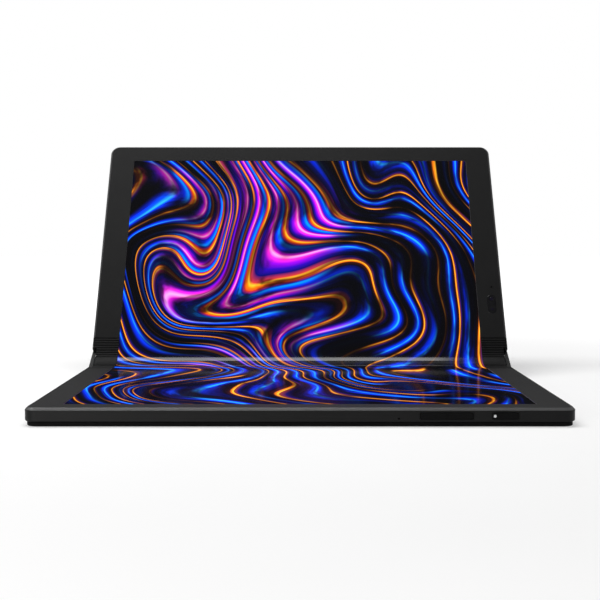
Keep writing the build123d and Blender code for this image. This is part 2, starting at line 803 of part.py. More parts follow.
def cooling_fins():
    low, high = floor_top, board_top + 0.8
    x1 = half_width - fins_inset
    y0 = fan_y - fan_size / 2
    stack = box(x1 - fins_width, x1, y0, y0 + fins_length, low, low + 0.3)
    for step in range(fin_count):
        y = y0 + 0.2 + step * (fins_length - 0.56) / (fin_count - 1)
        stack += box(x1 - fins_width, x1, y, y + 0.3, low, high)
    return stack


def speaker():
    x = half_width - wall - 5.2
    body = rounded_pad(x, speaker_y, 9.6, 30, 1.5, floor_top, bezel_low - 0.2)
    return body - rounded_pad(x, speaker_y, 6.5, 24, 1.0, bezel_low - 0.6, bezel_low)


# Front controls

def control_cap(x, length, back):
    face = front - button_proud
    cap = window_y(x, button_level, length, button_height, 0.75, face, back)
    return fillet(cap.faces().sort_by(Axis.Y)[0].edges(), 0.25)


def power_button():
    button = control_cap(power_x, power_length, channel_y + 0.1)
    flange_y = channel_y + 0.05
    button += box(power_x - power_length / 2 - 0.8, power_x + power_length / 2 + 0.8, flange_y,
                  flange_y + button_flange, button_level - button_height / 2 - 0.1,
                  button_level + button_height / 2 + 0.3)
    button += box(power_x - 1, power_x + 1, flange_y, switch_y - 0.85, button_level - 0.9, button_level + 0.9)
    return button - light_rod(0.02, front - 1, front + 1.2)


def light_rod(extra, y0, y1):
    rod = extrude(Plane.XZ * Pos(light_x, button_level) * Circle(light_radius + extra), y0 - y1)
    return Pos(0, y0, 0) * rod


def power_light():
    return light_rod(0, front - button_proud - 0.02, front + 1.2)


def volume_rocker():
    rocker = control_cap(rocker_x, rocker_length, channel_y + 0.5)
    rocker -= box(rocker_x - 0.2, rocker_x + 0.2, front - 1, front - button_proud + 0.2, -5, 5)
    rocker += rod_z(rocker_x, rocker_pin_y, rocker_pin_radius + 0.5, button_level - button_height / 2,
                    button_level + button_height / 2)
    rocker += rod_z(rocker_x, rocker_pin_y, rocker_pin_radius, floor_top - 0.45, button_level)
    for side in (-1, 1):
        x = rocker_x + side * (rocker_length / 2 - 3)
        rocker += box(x - 0.9, x + 0.9, channel_y + 0.3, switch_y - 1.0,
                      button_level - 0.9, button_level + 0.9)
    return rocker


def button_board():
    board = box(mic_x - 4, power_x + 9, switch_y, switch_y + 0.5, floor_top, plate_low)
    xs = [rocker_x - rocker_length / 2 + 3, rocker_x + rocker_length / 2 - 3, power_x]
    for x in xs:
        board += box(x - 1.6, x + 1.6, switch_y - 0.5, switch_y + 0.1, button_level - 1.3, button_level + 1.3)
    return board


def microphone():
    z = mic_z - axis_z
    body = box(mic_x - 1.7, mic_x + 1.7, switch_y - 1.1, switch_y, floor_top, z + 1.6)
    boot = window_y(mic_x, z + 0.1, 1.5, 1.5, 0.6, channel_y, switch_y - 1.0)
    return body + boot


# Leather cover and its stand

stand_level = cover_out + 0.05 + stand_thick / 2
stand_centre = -reach / 2 + stand_y


def cover_panel(y0, y1, low, high):
    x = half_width - cover_inset
    outline = Pos(0, (y0 + y1) / 2) * Rectangle(2 * x, y1 - y0)
    outline = fillet(outline.vertices().group_by(Axis.Y)[0], corner_radius - cover_inset)
    panel = extrude(Pos(0, 0, low) * outline, high - low)
    edges = panel.faces().sort_by(Axis.Z)[0].edges().sort_by(Axis.Y)[:-1]
    return fillet(edges, 0.55)


def edge_taper(y, length, depth):
    wedge = make_face(Polyline((y - length, cover_out - 0.01), (y + 0.01, cover_out + depth),
                               (y + 0.01, cover_out - 0.01), close=True))
    return profile_x(wedge, -half_width, half_width)


def pocket_cut(shape):
    for side in (-1, 1):
        x0, x1 = sorted((side * pocket_x, side * (half_width + 1)))
        shape -= rod_x(0, 0, pocket_radius, x0, x1)
    return shape


def base_cover():
    panel = cover_panel(front + cover_inset, -end_gap, cover_out, cover_in)
    panel -= edge_taper(-end_gap, cover_taper, -cover_out - strip_drop - strip_thick)
    pad = rounded_pad(0, -reach / 2, width - 8, reach - 8, 5, cover_in - 0.1, shell_low)
    panel += pad
    panel -= stand_pocket()
    panel = pocket_cut(panel)
    for y in stand_pin_centres():
        panel -= stand_pin(y, 0)
    finger = rod_z(stand_axis_x - stand_reach, stand_centre, finger_radius, cover_out - 1, cover_out + 1.0)
    return panel - finger


def stand_pocket():
    x0 = stand_axis_x - stand_reach - stand_gap
    x1 = stand_axis_x + stand_thick / 2 + stand_gap
    length_y = stand_width + 2 * stand_gap
    pocket = box(x0, x1, stand_centre - length_y / 2, stand_centre + length_y / 2, cover_out - 1,
                 shell_low + 0.01)
    return fillet(pocket.edges().filter_by(Axis.Z).group_by(Axis.X)[0], stand_corner + stand_gap)


def stand_pin_centres():
    offset = stand_width / 2 + stand_gap / 2
    return [stand_centre - offset, stand_centre + offset]


def stand_pin(y, extra):
    rod = extrude(Plane.XZ * Pos(stand_axis_x, stand_level) * Circle(stand_pin_radius + extra),
                  stand_pin_length + (0.2 if extra else 0))
    return Pos(0, y + stand_pin_length / 2 + (0.1 if extra else 0), 0) * rod


def kickstand():
    x0 = stand_axis_x - stand_reach
    low, high = stand_level - stand_thick / 2, stand_level + stand_thick / 2
    flap = box(x0, stand_axis_x, stand_centre - stand_width / 2, stand_centre + stand_width / 2, low, high)
    flap = fillet(flap.edges().filter_by(Axis.Z).group_by(Axis.X)[0], stand_corner)
    barrel = extrude(Plane.XZ * Pos(stand_axis_x, stand_level) * Circle(stand_thick / 2), stand_width)
    flap += Pos(0, stand_centre + stand_width / 2, 0) * barrel
    for y in stand_pin_centres():
        flap -= stand_pin(y, running_gap)
    return flap


def lid_cover():
    far = -reach + cover_inset + slide_out
    near = -slide_rest
    panel = cover_panel(far, near, cover_out, cover_in)
    panel -= box(-width, width, near - slide_margin, 1, cover_out + cover_edge_thick, cover_in + 1)
    panel -= edge_taper(near, 3.0, 0.35)
    for side in (-1, 1):
        x = side * slide_rail_x
        y0 = -slide_rail_start - slide_rail_length - slide_in - 0.4
        y1 = -slide_rail_start + slide_out + 0.4
        gap = slide_clearance
        neck, head = slide_neck / 2 + gap, slide_head / 2 + gap
        panel -= box(x - neck, x + neck, y0, y1, head_high - gap, cover_in + 1)
        panel -= box(x - head, x + head, y0, y1, head_low - gap, head_high + gap)
    return panel


slide_out = slide_per_radian * turn
slide_in = slide_per_radian * (pi / 2 - turn)
head_high = cover_in - 0.57
head_low = head_high - slide_head_thick


def slide_rails():
    rails = []
    for side in (-1, 1):
        x = side * slide_rail_x
        y0, y1 = -slide_rail_start - slide_rail_length, -slide_rail_start
        neck = box(x - slide_neck / 2, x + slide_neck / 2, y0, y1, head_high - 0.1, shell_low)
        head = box(x - slide_head / 2, x + slide_head / 2, y0, y1, head_low, head_high)
        rails.append(neck + head)
    return rails


# Lid half, drawn as the base is and then flipped over the fold

lid_posts = [(side * (display_board_x - 6), -(board_back + display_board_front) / 2) for side in (-1, 1)]


def lid_chassis():
    shell = half_shell(half_blank())
    for x, y in lid_posts:
        shell += screw_post(x, y, board_level)
        shell -= screw_bore(x, y, board_top)
    for side in (-1, 1):
        for y in arm_screws:
            shell -= screw_bore(side * arm_screw_x, y, floor_top + arm_thick)
    shell -= lid_port(0.05, 2, -1)
    return shell - cable_window()


def lid_port(inset, extra, start):
    outline = Pos(port_lid_x, port_level) * SlotOverall(port_width + 2 * port_wall + 2 * inset,
                                                        port_height + 2 * port_wall + 2 * inset)
    block = extrude(Plane.XZ * outline, -(port_depth - 0.8 + extra))
    return Pos(0, front + start, 0) * block


def lid_usb_port():
    shell = lid_port(0, 0, 0.1)
    opening = Pos(port_lid_x, port_level) * SlotOverall(port_width, port_height)
    hollow = extrude(Plane.XZ * opening, -port_depth)
    shell -= Pos(0, front - 0.9, 0) * hollow
    shell += box(port_lid_x - 3.35, port_lid_x + 3.35, front + 0.9, front + port_depth - 0.8,
                 port_level - 0.35, port_level + 0.35)
    foot = box(port_lid_x - 5.5, port_lid_x + 5.5, front + 2.2, front + 6.4, floor_top, port_level - 1.5)
    return shell + foot


def pill(length, breadth, z0, z1):
    outline = Pos(camera_x, -camera_y, z0) * Rot(0, 0, 90) * SlotOverall(length, breadth)
    return extrude(outline, z1 - z0)


def lid_bezel():
    frame = half_bezel(half_blank())
    frame -= pill(camera_length, camera_width, bezel_low - 1, axis_drop + 1)
    return frame - rod_z(camera_x - 0.4, -lid_mic_y, 0.4, bezel_low - 1, axis_drop + 1)


def camera_window():
    return pill(camera_length - 0.1, camera_width - 0.1, axis_drop - 0.5, axis_drop - 0.05)


def camera_module():
    board = pill(camera_length - 0.4, camera_width - 0.4, bezel_low - 1.6, bezel_low - 1.0)
    barrel = rod_z(camera_x, -lens_y, 2.1, bezel_low - 1.1, axis_drop - 0.6)
    barrel -= rod_z(camera_x, -lens_y, 1.1, axis_drop - 1.0, axis_drop)
    sensor = rod_z(camera_x, -camera_y + 3.0, 1.5, bezel_low - 1.1, axis_drop - 0.6)
    return board + barrel + sensor


def lid_microphone():
    return rounded_pad(camera_x - 0.4, -lid_mic_y, 3, 4, 0.4, bezel_low - 1.1, bezel_low)


def display_board():
    x, y = display_board_x, -(board_back + display_board_front) / 2
    board = box(-x, x, -display_board_front, -board_back, board_level, board_top)
    board += rounded_pad(x * 0.17, y, 12, 8, 0.5, board_top - 0.1, board_top + 0.9)
    board += rounded_pad(x * 0.55, y, 7, 7, 0.5, board_top - 0.1, board_top + 0.8)
    for x, y in lid_posts:
        board -= rod_z(x, y, screw_radius + 0.2, -5, 5)
    return board


def antenna():
    strip = rounded_pad(half_width - 6.5, front + 32, 6, 34, 1, floor_top, floor_top + 0.8)
    return strip


# The pieces, each saved to its own file

def save_all():
    blank = half_blank()
    save(base_chassis(), base_place, "base_chassis")
    save(half_bezel(blank), base_place, "base_bezel")
    save(half_display(), base_place, "display_base")
    save(half_plate(), base_place, "base_display_plate")
    save(main_board(), base_place, "main_board")
    save(group(chips()), base_place, "board_chips")
    save(shield(), base_place, "board_shield")
    save(ssd_module(), base_place, "ssd_module")
    save(wireless_module(), base_place, "wireless_module")
    save(io_board(), base_place, "io_board")
    save(battery(-panel_end + rail_width + battery_gap, -board_front - 5, 4), base_place, "base_battery")
    save(fan_housing(), base_place, "fan_housing")
    save(fan_rotor(), base_place, "fan_rotor")
    save(heat_pipe(), base_place, "heat_pipe")
    save(cooling_fins(), base_place, "cooling_fins")
    save(speaker(), base_place, "speaker")
    save(usb_port(), base_place, "usb_c_port_base")
    save(sim_tray(), base_place, "sim_tray")
    save(sim_reader(), base_place, "sim_reader")
    save(power_button(), base_place, "power_button")
    save(power_light(), base_place, "power_light")
    save(volume_rocker(), base_place, "volume_rocker")
    save(button_board(), base_place, "button_board")
    save(microphone(), base_place, "base_microphone")
    save(base_cover(), base_place, "base_cover")
    save(kickstand(), base_place, "kickstand")
    save(group([stand_pin(y, 0) for y in stand_pin_centres()]), base_place, "kickstand_pins")
    arm = hinge_arm()
    save(group([arm, other_side(arm)]), base_place, "base_hinge_arms")
    arm_fasteners = [screw(side * arm_screw_x, y, floor_top + arm_thick)
                     for side in (-1, 1) for y in arm_screws]
    board_fasteners = [screw(x, y, board_top) for x, y in board_posts + io_posts + ssd_posts]
    save(group(arm_fasteners + board_fasteners), base_place, "base_screws")

    base_shaft = arm_gear_shaft(0, teeth_at[0])
    save(group([base_shaft, other_side(base_shaft)]), spine_place, "base_gear_shafts")
    lid_shaft = arm_gear_shaft(axis_spacing, teeth_at[3])
    save(group([lid_shaft, other_side(lid_shaft)]), spine_place, "lid_gear_shafts")
    for index, end in enumerate(("base", "lid")):
        wheel = idler(index)
        save(wheel, spine_place, "idler_gear_right_" + end)
        save(other_side(wheel), spine_place, "idler_gear_left_" + end)
    save(spine_plate(), spine_place, "spine_plate")
    bracket = spine_bracket()
    save(group([bracket, other_side(bracket)]), spine_place, "spine_brackets")
    cap = spine_cap()
    save(group([cap, other_side(cap)]), spine_place, "spine_end_caps")
    springs = disc_springs()
    save(group(springs + [other_side(spring) for spring in springs]), spine_place, "hinge_disc_springs")

    display = profile_x(fold_layer(display_top, display_low, fold_run), -panel_x, panel_x)
    save(display, base_place, "display_fold")
    band = bezel_fold()
    save(band, base_place, "bezel_fold_right")
    save(other_side(band), base_place, "bezel_fold_left")
    save(leather_spine(), base_place, "leather_spine")
    save(flex_cable(), base_place, "flex_cable")

    save(flip(lid_chassis()), lid_place, "lid_chassis")
    save(flip(lid_bezel()), lid_place, "lid_bezel")
    save(flip(half_display()), lid_place, "display_lid")
    save(flip(half_plate()), lid_place, "lid_display_plate")
    battery_end = -panel_end + rail_width + battery_gap
    save(flip(battery(battery_end, -display_board_front - 6, 4)), lid_place, "lid_battery")
    save(flip(camera_window()), lid_place, "camera_window")
    save(flip(camera_module()), lid_place, "camera_module")
    save(flip(lid_microphone()), lid_place, "lid_microphone")
    save(flip(display_board()), lid_place, "display_board")
    strip = flip(antenna())
    save(group([strip, other_side(strip)]), lid_place, "lid_antennas")
    save(flip(lid_usb_port()), lid_place, "usb_c_port_lid")
    save(flip(group([arm, other_side(arm)])), lid_place, "lid_hinge_arms")
    lid_fasteners = arm_fasteners + [screw(x, y, board_top) for x, y in lid_posts]
    save(flip(group(lid_fasteners)), lid_place, "lid_screws")
    save(flip(group(slide_rails())), lid_place, "lid_cover_rails")
    save(flip(lid_cover()), lid_place, "lid_cover")


save_all()
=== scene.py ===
from math import cos, pi, radians, sin, tan

import bmesh
import bpy
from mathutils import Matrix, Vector


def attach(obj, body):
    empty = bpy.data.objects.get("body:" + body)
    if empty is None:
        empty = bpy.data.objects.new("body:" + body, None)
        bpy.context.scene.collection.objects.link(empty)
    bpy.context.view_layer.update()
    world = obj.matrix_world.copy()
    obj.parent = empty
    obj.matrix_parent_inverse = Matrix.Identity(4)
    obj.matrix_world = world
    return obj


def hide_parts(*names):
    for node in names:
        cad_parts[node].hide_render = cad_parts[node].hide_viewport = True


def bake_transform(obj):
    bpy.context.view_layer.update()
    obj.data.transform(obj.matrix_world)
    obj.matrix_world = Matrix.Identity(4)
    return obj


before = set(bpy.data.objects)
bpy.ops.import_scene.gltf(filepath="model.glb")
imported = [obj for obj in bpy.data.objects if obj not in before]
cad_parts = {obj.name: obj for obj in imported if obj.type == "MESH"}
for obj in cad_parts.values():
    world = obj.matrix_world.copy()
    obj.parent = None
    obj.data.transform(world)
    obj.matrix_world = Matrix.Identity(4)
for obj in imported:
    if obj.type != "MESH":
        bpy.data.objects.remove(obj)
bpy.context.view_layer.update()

millimetre = 0.001


# places on the two halves, in millimetres
halves = {
    "baseAxis": (72.375, 5.9),      # Y and Z of the base's fold axis
    "leanBack": 30.7,               # lid from upright, degrees
    "axisSpacing": 9.9,
    "bezelTop": 2.2,                # everything here is above the axis line
    "displayTop": 1.8,
    "displayLow": 1.1,
    "bendRadius": 14.25,            # display face round the fold
    "halfWidth": 118.0,
    "reach": 144.75,                # axis to the outer edge
    "openingX": 103.0,
    "openingEnd": 133.75,
    "flexStart": 12.6,              # where the ribbed rubber meets the stiff bezel
}
foldAngle = radians(90 - halves["leanBack"])
halfFold = foldAngle / 2
lidAlong = Vector((0, cos(foldAngle), sin(foldAngle)))
lidOut = Vector((0, -sin(foldAngle), cos(foldAngle)))
baseAxis = Vector((0, *halves["baseAxis"]))
lidAxis = baseAxis + halves["axisSpacing"] * Vector((0, cos(halfFold), sin(halfFold)))
bendZ = halves["displayTop"] + halves["bendRadius"]
bendY = ((halves["axisSpacing"] / 2 - halves["displayTop"] * sin(halfFold)) / cos(halfFold)
         - halves["bendRadius"] * tan(halfFold))
arcLength = halves["bendRadius"] * halfFold     # display face, start of the bend to its middle


def onBase(x, out, up):
    return Vector((x, baseAxis.y - out, baseAxis.z + up)) * millimetre


def onLid(x, out, up):
    return (Vector((x, 0, 0)) + lidAxis + lidAlong * out + lidOut * up) * millimetre


def onFold(x, run, up):
    # run is measured on the display face from the middle of the fold, plus towards the lid
    angle = halfFold + run / halves["bendRadius"]
    if angle < 0:
        return onBase(x, -bendY - angle * halves["bendRadius"], up)
    if angle > foldAngle:
        return onLid(x, -bendY + (angle - foldAngle) * halves["bendRadius"], up)
    radius = bendZ - up
    return Vector((x, baseAxis.y + bendY + radius * sin(angle),
                   baseAxis.z + bendZ - radius * cos(angle))) * millimetre


def runAt(out):
    return out + bendY + arcLength


def faceOutwards(mesh):
    work = bmesh.new()
    work.from_mesh(mesh)
    bmesh.ops.recalc_face_normals(work, faces=work.faces)
    work.to_mesh(mesh)
    work.free()


def addMesh(name, points, faces, materials, smoothAngle=35):
    mesh = bpy.data.meshes.new(name)
    mesh.from_pydata([tuple(p) for p in points], [], faces)
    mesh.validate()
    faceOutwards(mesh)
    piece = bpy.data.objects.new(name, mesh)
    bpy.context.scene.collection.objects.link(piece)
    for material in materials if isinstance(materials, (list, tuple)) else [materials]:
        mesh.materials.append(material)
    mesh.shade_smooth()
    mesh.set_sharp_from_angle(angle=radians(smoothAngle))
    return piece


def plainMesh(piece):
    # turns the evaluated modifiers into the piece's own mesh
    depsgraph = bpy.context.evaluated_depsgraph_get()
    mesh = bpy.data.meshes.new_from_object(piece.evaluated_get(depsgraph), preserve_all_data_layers=True,
                                           depsgraph=depsgraph)
    piece.modifiers.clear()
    piece.data = mesh


def evenNormals(piece):
    keep = piece.modifiers.new("evenNormals", "WEIGHTED_NORMAL")
    keep.keep_sharp = True
    keep.weight = 80


# materials
def startMaterial(name):
    material = bpy.data.materials.new(name)
    material.use_nodes = True
    return material, material.node_tree, material.node_tree.nodes["Principled BSDF"]


def addNode(tree, kind, settings=None, inputs=None):
    made = tree.nodes.new(kind)
    for key, value in (settings or {}).items():
        setattr(made, key, value)
    for key, value in (inputs or {}).items():
        if isinstance(value, bpy.types.NodeSocket):
            tree.links.new(value, made.inputs[key])
        else:
            made.inputs[key].default_value = value
    return made


def calc(tree, operation, *values):
    return addNode(tree, "ShaderNodeMath", {"operation": operation}, dict(enumerate(values))).outputs[0]


def ramp(tree, factor, stops):
    made = addNode(tree, "ShaderNodeValToRGB", inputs={"Fac": factor})
    band = made.color_ramp
    while len(band.elements) < len(stops):
        band.elements.new(0.5)
    for element, (place, colour) in zip(band.elements, stops):
        element.position = place
        element.color = (*colour, 1)
    return made.outputs["Color"]


def objectPlace(tree):
    return addNode(tree, "ShaderNodeTexCoord").outputs["Object"]


def noise(tree, place, scale, detail=2.0, roughness=0.5, output="Fac", dimensions="3D"):
    return addNode(tree, "ShaderNodeTexNoise", {"noise_dimensions": dimensions},
                   {"Vector": place, "Scale": scale, "Detail": detail, "Roughness": roughness}).outputs[output]


def between(tree, value, low, high, start=0.0, end=1.0, curve="SMOOTHSTEP"):
    # start where the value is at low, end where it is at high
    return addNode(tree, "ShaderNodeMapRange", {"interpolation_type": curve},
                   {"Value": value, "From Min": low, "From Max": high, "To Min": start, "To Max": end}
                   ).outputs["Result"]


def toneMix(tree, factor, first, second, blend="MIX"):
    return addNode(tree, "ShaderNodeMix", {"data_type": "RGBA", "blend_type": blend},
                   {"Factor": factor, "A": first, "B": second}).outputs["Result"]


def bumpInto(tree, shader, height, distance, strength=1.0):
    bump = addNode(tree, "ShaderNodeBump", inputs={"Height": height, "Distance": distance, "Strength": strength})
    tree.links.new(bump.outputs["Normal"], shader.inputs["Normal"])


finishes = {
    # light tone, dark tone, roughness low and high, metallic, specular level, grain per metre, grain height
    "casingPaint": ((0.0062, 0.0062, 0.0064), (0.0045, 0.0045, 0.0047), 0.40, 0.50, 0.0, 0.20, 5200, 0.000010),
    # chamfer: a glossier edge, its colour raised far above the casing's to stand in for the highlight along it, a
    # painted highlight
    "chamferPaintedHighlight": ((0.066, 0.066, 0.067), (0.052, 0.052, 0.053), 0.30, 0.36, 0.0, 0.90, 6200, 0.000004),
    # inner rounding at the display: its light colour stands in for the highlight line along that edge, a painted
    # highlight
    "rimPaintedHighlight": ((0.085, 0.085, 0.088), (0.065, 0.065, 0.068), 0.36, 0.44, 0.0, 0.5, 5200, 0.000004),
    # the bezels are one rubber in two copies: the base's is painted lighter where more light falls, painted light; the
    # lid's is darker, painted shade
    "baseRubberPaintedLight": ((0.0134, 0.0134, 0.0137), (0.0104, 0.0104, 0.0106), 0.56, 0.66, 0.0, 0.18, 3800, 0.000012),
    "lidRubberPaintedShade": ((0.0078, 0.0078, 0.0080), (0.0058, 0.0058, 0.0060), 0.56, 0.66, 0.0, 0.14, 3800, 0.000012),
    # fold rubber: the bezels' rubber painted darker still, to stand in for the shade round the bend, painted shade
    "foldRubber": ((0.0042, 0.0042, 0.0044), (0.0028, 0.0028, 0.0030), 0.50, 0.62, 0.0, 0.12, 3000, 0.000010),
    "buttonPaint": ((0.0030, 0.0030, 0.0032), (0.0020, 0.0020, 0.0022), 0.46, 0.56, 0.0, 0.10, 5200, 0.000006),
    "brushedSteel": ((0.56, 0.56, 0.58), (0.42, 0.42, 0.44), 0.26, 0.42, 1.0, 0.5, 4200, 0.000005),
    "shieldSteel": ((0.62, 0.61, 0.60), (0.50, 0.50, 0.49), 0.34, 0.5, 1.0, 0.5, 1800, 0.000008),
    "screwSteel": ((0.20, 0.20, 0.21), (0.12, 0.12, 0.13), 0.28, 0.4, 1.0, 0.5, 6000, 0.000004),
    "fanPlastic": ((0.020, 0.020, 0.021), (0.012, 0.012, 0.013), 0.44, 0.6, 0.0, 0.5, 3000, 0.000012),
    "chipResin": ((0.018, 0.018, 0.019), (0.010, 0.010, 0.011), 0.5, 0.68, 0.0, 0.4, 6500, 0.000010),
    "warmCopper": ((0.80, 0.38, 0.20), (0.60, 0.25, 0.12), 0.24, 0.42, 1.0, 0.5, 2200, 0.000006),
    "socketSteel": ((0.20, 0.20, 0.21), (0.14, 0.14, 0.15), 0.30, 0.42, 1.0, 0.5, 4800, 0.000004),
    "displayBack": ((0.006, 0.006, 0.007), (0.003, 0.003, 0.004), 0.3, 0.4, 0.0, 0.5, 3000, 0.000004),
}


def moulded(name):
    light, dark, low, high, metallic, specular, grain, height = finishes[name]
    material, tree, shader = startMaterial(name)
    place = objectPlace(tree)
    cloudy = noise(tree, place, grain / 60, 5.0, 0.6)
    fine = noise(tree, place, grain, 3.0, 0.55)
    tree.links.new(ramp(tree, cloudy, [(0.3, dark), (0.7, light)]), shader.inputs["Base Color"])
    tree.links.new(between(tree, fine, 0.3, 0.7, low, high, "LINEAR"), shader.inputs["Roughness"])
    shader.inputs["Metallic"].default_value = metallic
    shader.inputs["Specular IOR Level"].default_value = specular
    bumpInto(tree, shader, fine, height)
    return material


leatherLook = {
    # light tone, dark tone, specular level
    # one leather in two copies: the lid's is lifted so the back reads in little light, painted light; the base cover's
    # is darker, painted shade along its front edge
    "leatherPaintedLight": ((0.0105, 0.0103, 0.0102), (0.0032, 0.0032, 0.0032), 0.34),
    "leatherPaintedShade": ((0.0040, 0.0039, 0.0039), (0.0014, 0.0014, 0.0014), 0.10),
    "cells": 1500, "crease": 0.22, "pores": 7000, "poreShare": 0.25,       # per metre; widths in parts of a cell
    "swayScale": 420.0, "sway": 0.0012,             # keeps the cells from standing in rows
    "toneScale": 26.0, "sheen": 0.01,
    "roughness": (0.72, 0.5),       # in a crease and on a cell
    "height": 0.00006, "strength": 0.8,
}


def leatherMaterial(name):
    # pebbled grain: rounded cells with creases between, fine pores and slow changes of tone
    light, dark, specular = leatherLook[name]
    material, tree, shader = startMaterial(name)
    place = objectPlace(tree)
    sway = noise(tree, place, leatherLook["swayScale"], 3.0, output="Color")
    shift = addNode(tree, "ShaderNodeVectorMath", {"operation": "MULTIPLY_ADD"},
                    {0: sway, 1: (leatherLook["sway"],) * 3, 2: place}).outputs[0]
    cells = addNode(tree, "ShaderNodeTexVoronoi", {"feature": "DISTANCE_TO_EDGE"},
                    {"Vector": shift, "Scale": leatherLook["cells"]}).outputs["Distance"]
    crease = between(tree, cells, 0.0, leatherLook["crease"])
    pores = noise(tree, place, leatherLook["pores"])
    tone = noise(tree, place, leatherLook["toneScale"], 4.0)
    mixed = calc(tree, "MULTIPLY", calc(tree, "ADD", calc(tree, "MULTIPLY", crease, 0.6), 0.4), tone)
    tree.links.new(ramp(tree, mixed, [(0.15, dark), (0.62, light)]), shader.inputs["Base Color"])
    tree.links.new(between(tree, crease, 0.0, 1.0, *leatherLook["roughness"], "LINEAR"), shader.inputs["Roughness"])
    shader.inputs["Specular IOR Level"].default_value = specular
    shader.inputs["Sheen Weight"].default_value = leatherLook["sheen"]
    height = calc(tree, "ADD", crease, calc(tree, "MULTIPLY", pores, leatherLook["poreShare"]))
    bumpInto(tree, shader, height, leatherLook["height"], leatherLook["strength"])
    return material


boardLook = {
    "maskTone": (0.004, 0.020, 0.012, 1), "trackTone": (0.010, 0.060, 0.034, 1), "padTone": (0.62, 0.50, 0.30, 1),
    "trackScale": 420.0, "trackEdge": (0.03, 0.07), "padScale": 610.0, "padEdge": (0.10, 0.13),
    "roughness": 0.34, "height": 0.00004,
}


def boardMaterial():
    # dark solder mask with raised tracks and small bright pads
    material, tree, shader = startMaterial("solderMask")
    place = objectPlace(tree)
    tracks = addNode(tree, "ShaderNodeTexVoronoi", {"feature": "DISTANCE_TO_EDGE"},
                     {"Vector": place, "Scale": boardLook["trackScale"], "Randomness": 0.35}).outputs["Distance"]
    dots = addNode(tree, "ShaderNodeTexVoronoi", inputs={"Vector": place, "Scale": boardLook["padScale"],
                                                         "Randomness": 0.8}).outputs["Distance"]
    line = between(tree, tracks, *boardLook["trackEdge"], 1.0, 0.0, "LINEAR")
    pad = between(tree, dots, *boardLook["padEdge"], 1.0, 0.0, "LINEAR")
    mask = toneMix(tree, line, boardLook["maskTone"], boardLook["trackTone"])
    tree.links.new(toneMix(tree, pad, mask, boardLook["padTone"]), shader.inputs["Base Color"])
    tree.links.new(pad, shader.inputs["Metallic"])
    shader.inputs["Roughness"].default_value = boardLook["roughness"]
    bumpInto(tree, shader, calc(tree, "ADD", line, pad), boardLook["height"], 0.6)
    return material


def wrapMaterial():
    # silver grey pouch film with soft dents
    material, tree, shader = startMaterial("pouchFilm")
    dents = noise(tree, objectPlace(tree), 85.0, 4.0)
    tree.links.new(ramp(tree, dents, [(0.3, (0.10, 0.10, 0.105)), (0.7, (0.16, 0.16, 0.17))]),
                   shader.inputs["Base Color"])
    shader.inputs["Metallic"].default_value = 0.6
    shader.inputs["Roughness"].default_value = 0.42
    bumpInto(tree, shader, dents, 0.0002, 0.5)
    return material


def ribbonMaterial():
    # amber film with copper lines along the ribbon
    linePitch = 0.0008
    material, tree, shader = startMaterial("amberRibbon")
    spread = addNode(tree, "ShaderNodeSeparateXYZ", inputs={0: objectPlace(tree)}).outputs["X"]
    wave = calc(tree, "SINE", calc(tree, "MULTIPLY", spread, 2 * pi / linePitch))
    tree.links.new(ramp(tree, calc(tree, "MULTIPLY_ADD", wave, 0.5, 0.5),
                        [(0.45, (0.28, 0.09, 0.010)), (0.6, (0.55, 0.24, 0.06))]), shader.inputs["Base Color"])
    shader.inputs["Roughness"].default_value = 0.3
    bumpInto(tree, shader, wave, 0.00002)
    return material


def lightMaterial():
    material, tree, shader = startMaterial("whiteLight")
    soft = noise(tree, objectPlace(tree), 2600.0)
    tree.links.new(ramp(tree, soft, [(0.3, (0.86, 0.90, 0.94)), (0.7, (1.0, 1.0, 1.0))]),
                   shader.inputs["Emission Color"])
    shader.inputs["Base Color"].default_value = (0.30, 0.30, 0.30, 1)
    shader.inputs["Emission Strength"].default_value = 0.34
    shader.inputs["Roughness"].default_value = 0.4
    return material


def lensMaterial():
    # coated glass: violet to green towards the rim
    material, tree, shader = startMaterial("coatedLens")
    facing = addNode(tree, "ShaderNodeLayerWeight", inputs={"Blend": 0.35}).outputs["Facing"]
    tree.links.new(ramp(tree, facing, [(0.0, (0.004, 0.003, 0.010)), (0.5, (0.012, 0.006, 0.030)),
                                       (0.9, (0.006, 0.020, 0.016))]), shader.inputs["Base Color"])
    shader.inputs["Roughness"].default_value = 0.05
    shader.inputs["Coat Weight"].default_value = 1.0
    shader.inputs["Coat Roughness"].default_value = 0.03
    return material


def windowMaterial():
    material, tree, shader = startMaterial("darkWindow")
    soft = noise(tree, objectPlace(tree), 240.0)
    tree.links.new(ramp(tree, soft, [(0.3, (0.006, 0.006, 0.007)), (0.7, (0.011, 0.011, 0.012))]),
                   shader.inputs["Base Color"])
    shader.inputs["Roughness"].default_value = 0.14
    shader.inputs["Specular IOR Level"].default_value = 0.4
    return material


wallpaper = {
    "linesPerMetre": 74.0,          # coloured lines across the flow
    "flowTurn": -0.42,              # radians, main direction of the flow
    "bend": 0.95, "bendScale": 0.75,                # how far the flow wanders
    "wander": 1.15, "wanderScale": 2.0,             # how unevenly the lines are spaced
    "drawnOut": 0.22,               # noise across the flow against noise along it
    # middle, turn in radians, reach; in units of 100 mm on the unrolled sheet
    "eddies": [((-0.58, 0.72), 2.9, 0.46), ((0.48, 1.22), -1.6, 0.50), ((0.30, 0.10), 1.2, 0.42),
               ((0.55, -0.75), -2.1, 0.44), ((-0.55, -0.70), 1.5, 0.50)],
    "glowMiddle": (-0.45, 0.62), "glowReach": 1.15,         # where the warm colours gather
    "glowScale": 1.1, "glowRagged": 1.5, "glowLeast": 0.42,
    # noise scales, and for each the noise from and to, then what it gives there
    "patchStretch": 5.0, "patchScale": 1.3, "patches": (0.38, 0.58, 0.02, 1.2),
    "streakScale": 13.0, "streaks": (0.34, 0.64, 0.12, 1.5),
    "glowEdge": (0.30, 0.58, 1.0, 0.0),
    "coating": (0.55, 0.84, 0.24, 0.003),           # specular level: the screen hardly mirrors at a flat angle
    "roughness": (0.09, 0.15), "level": 1.0,
}


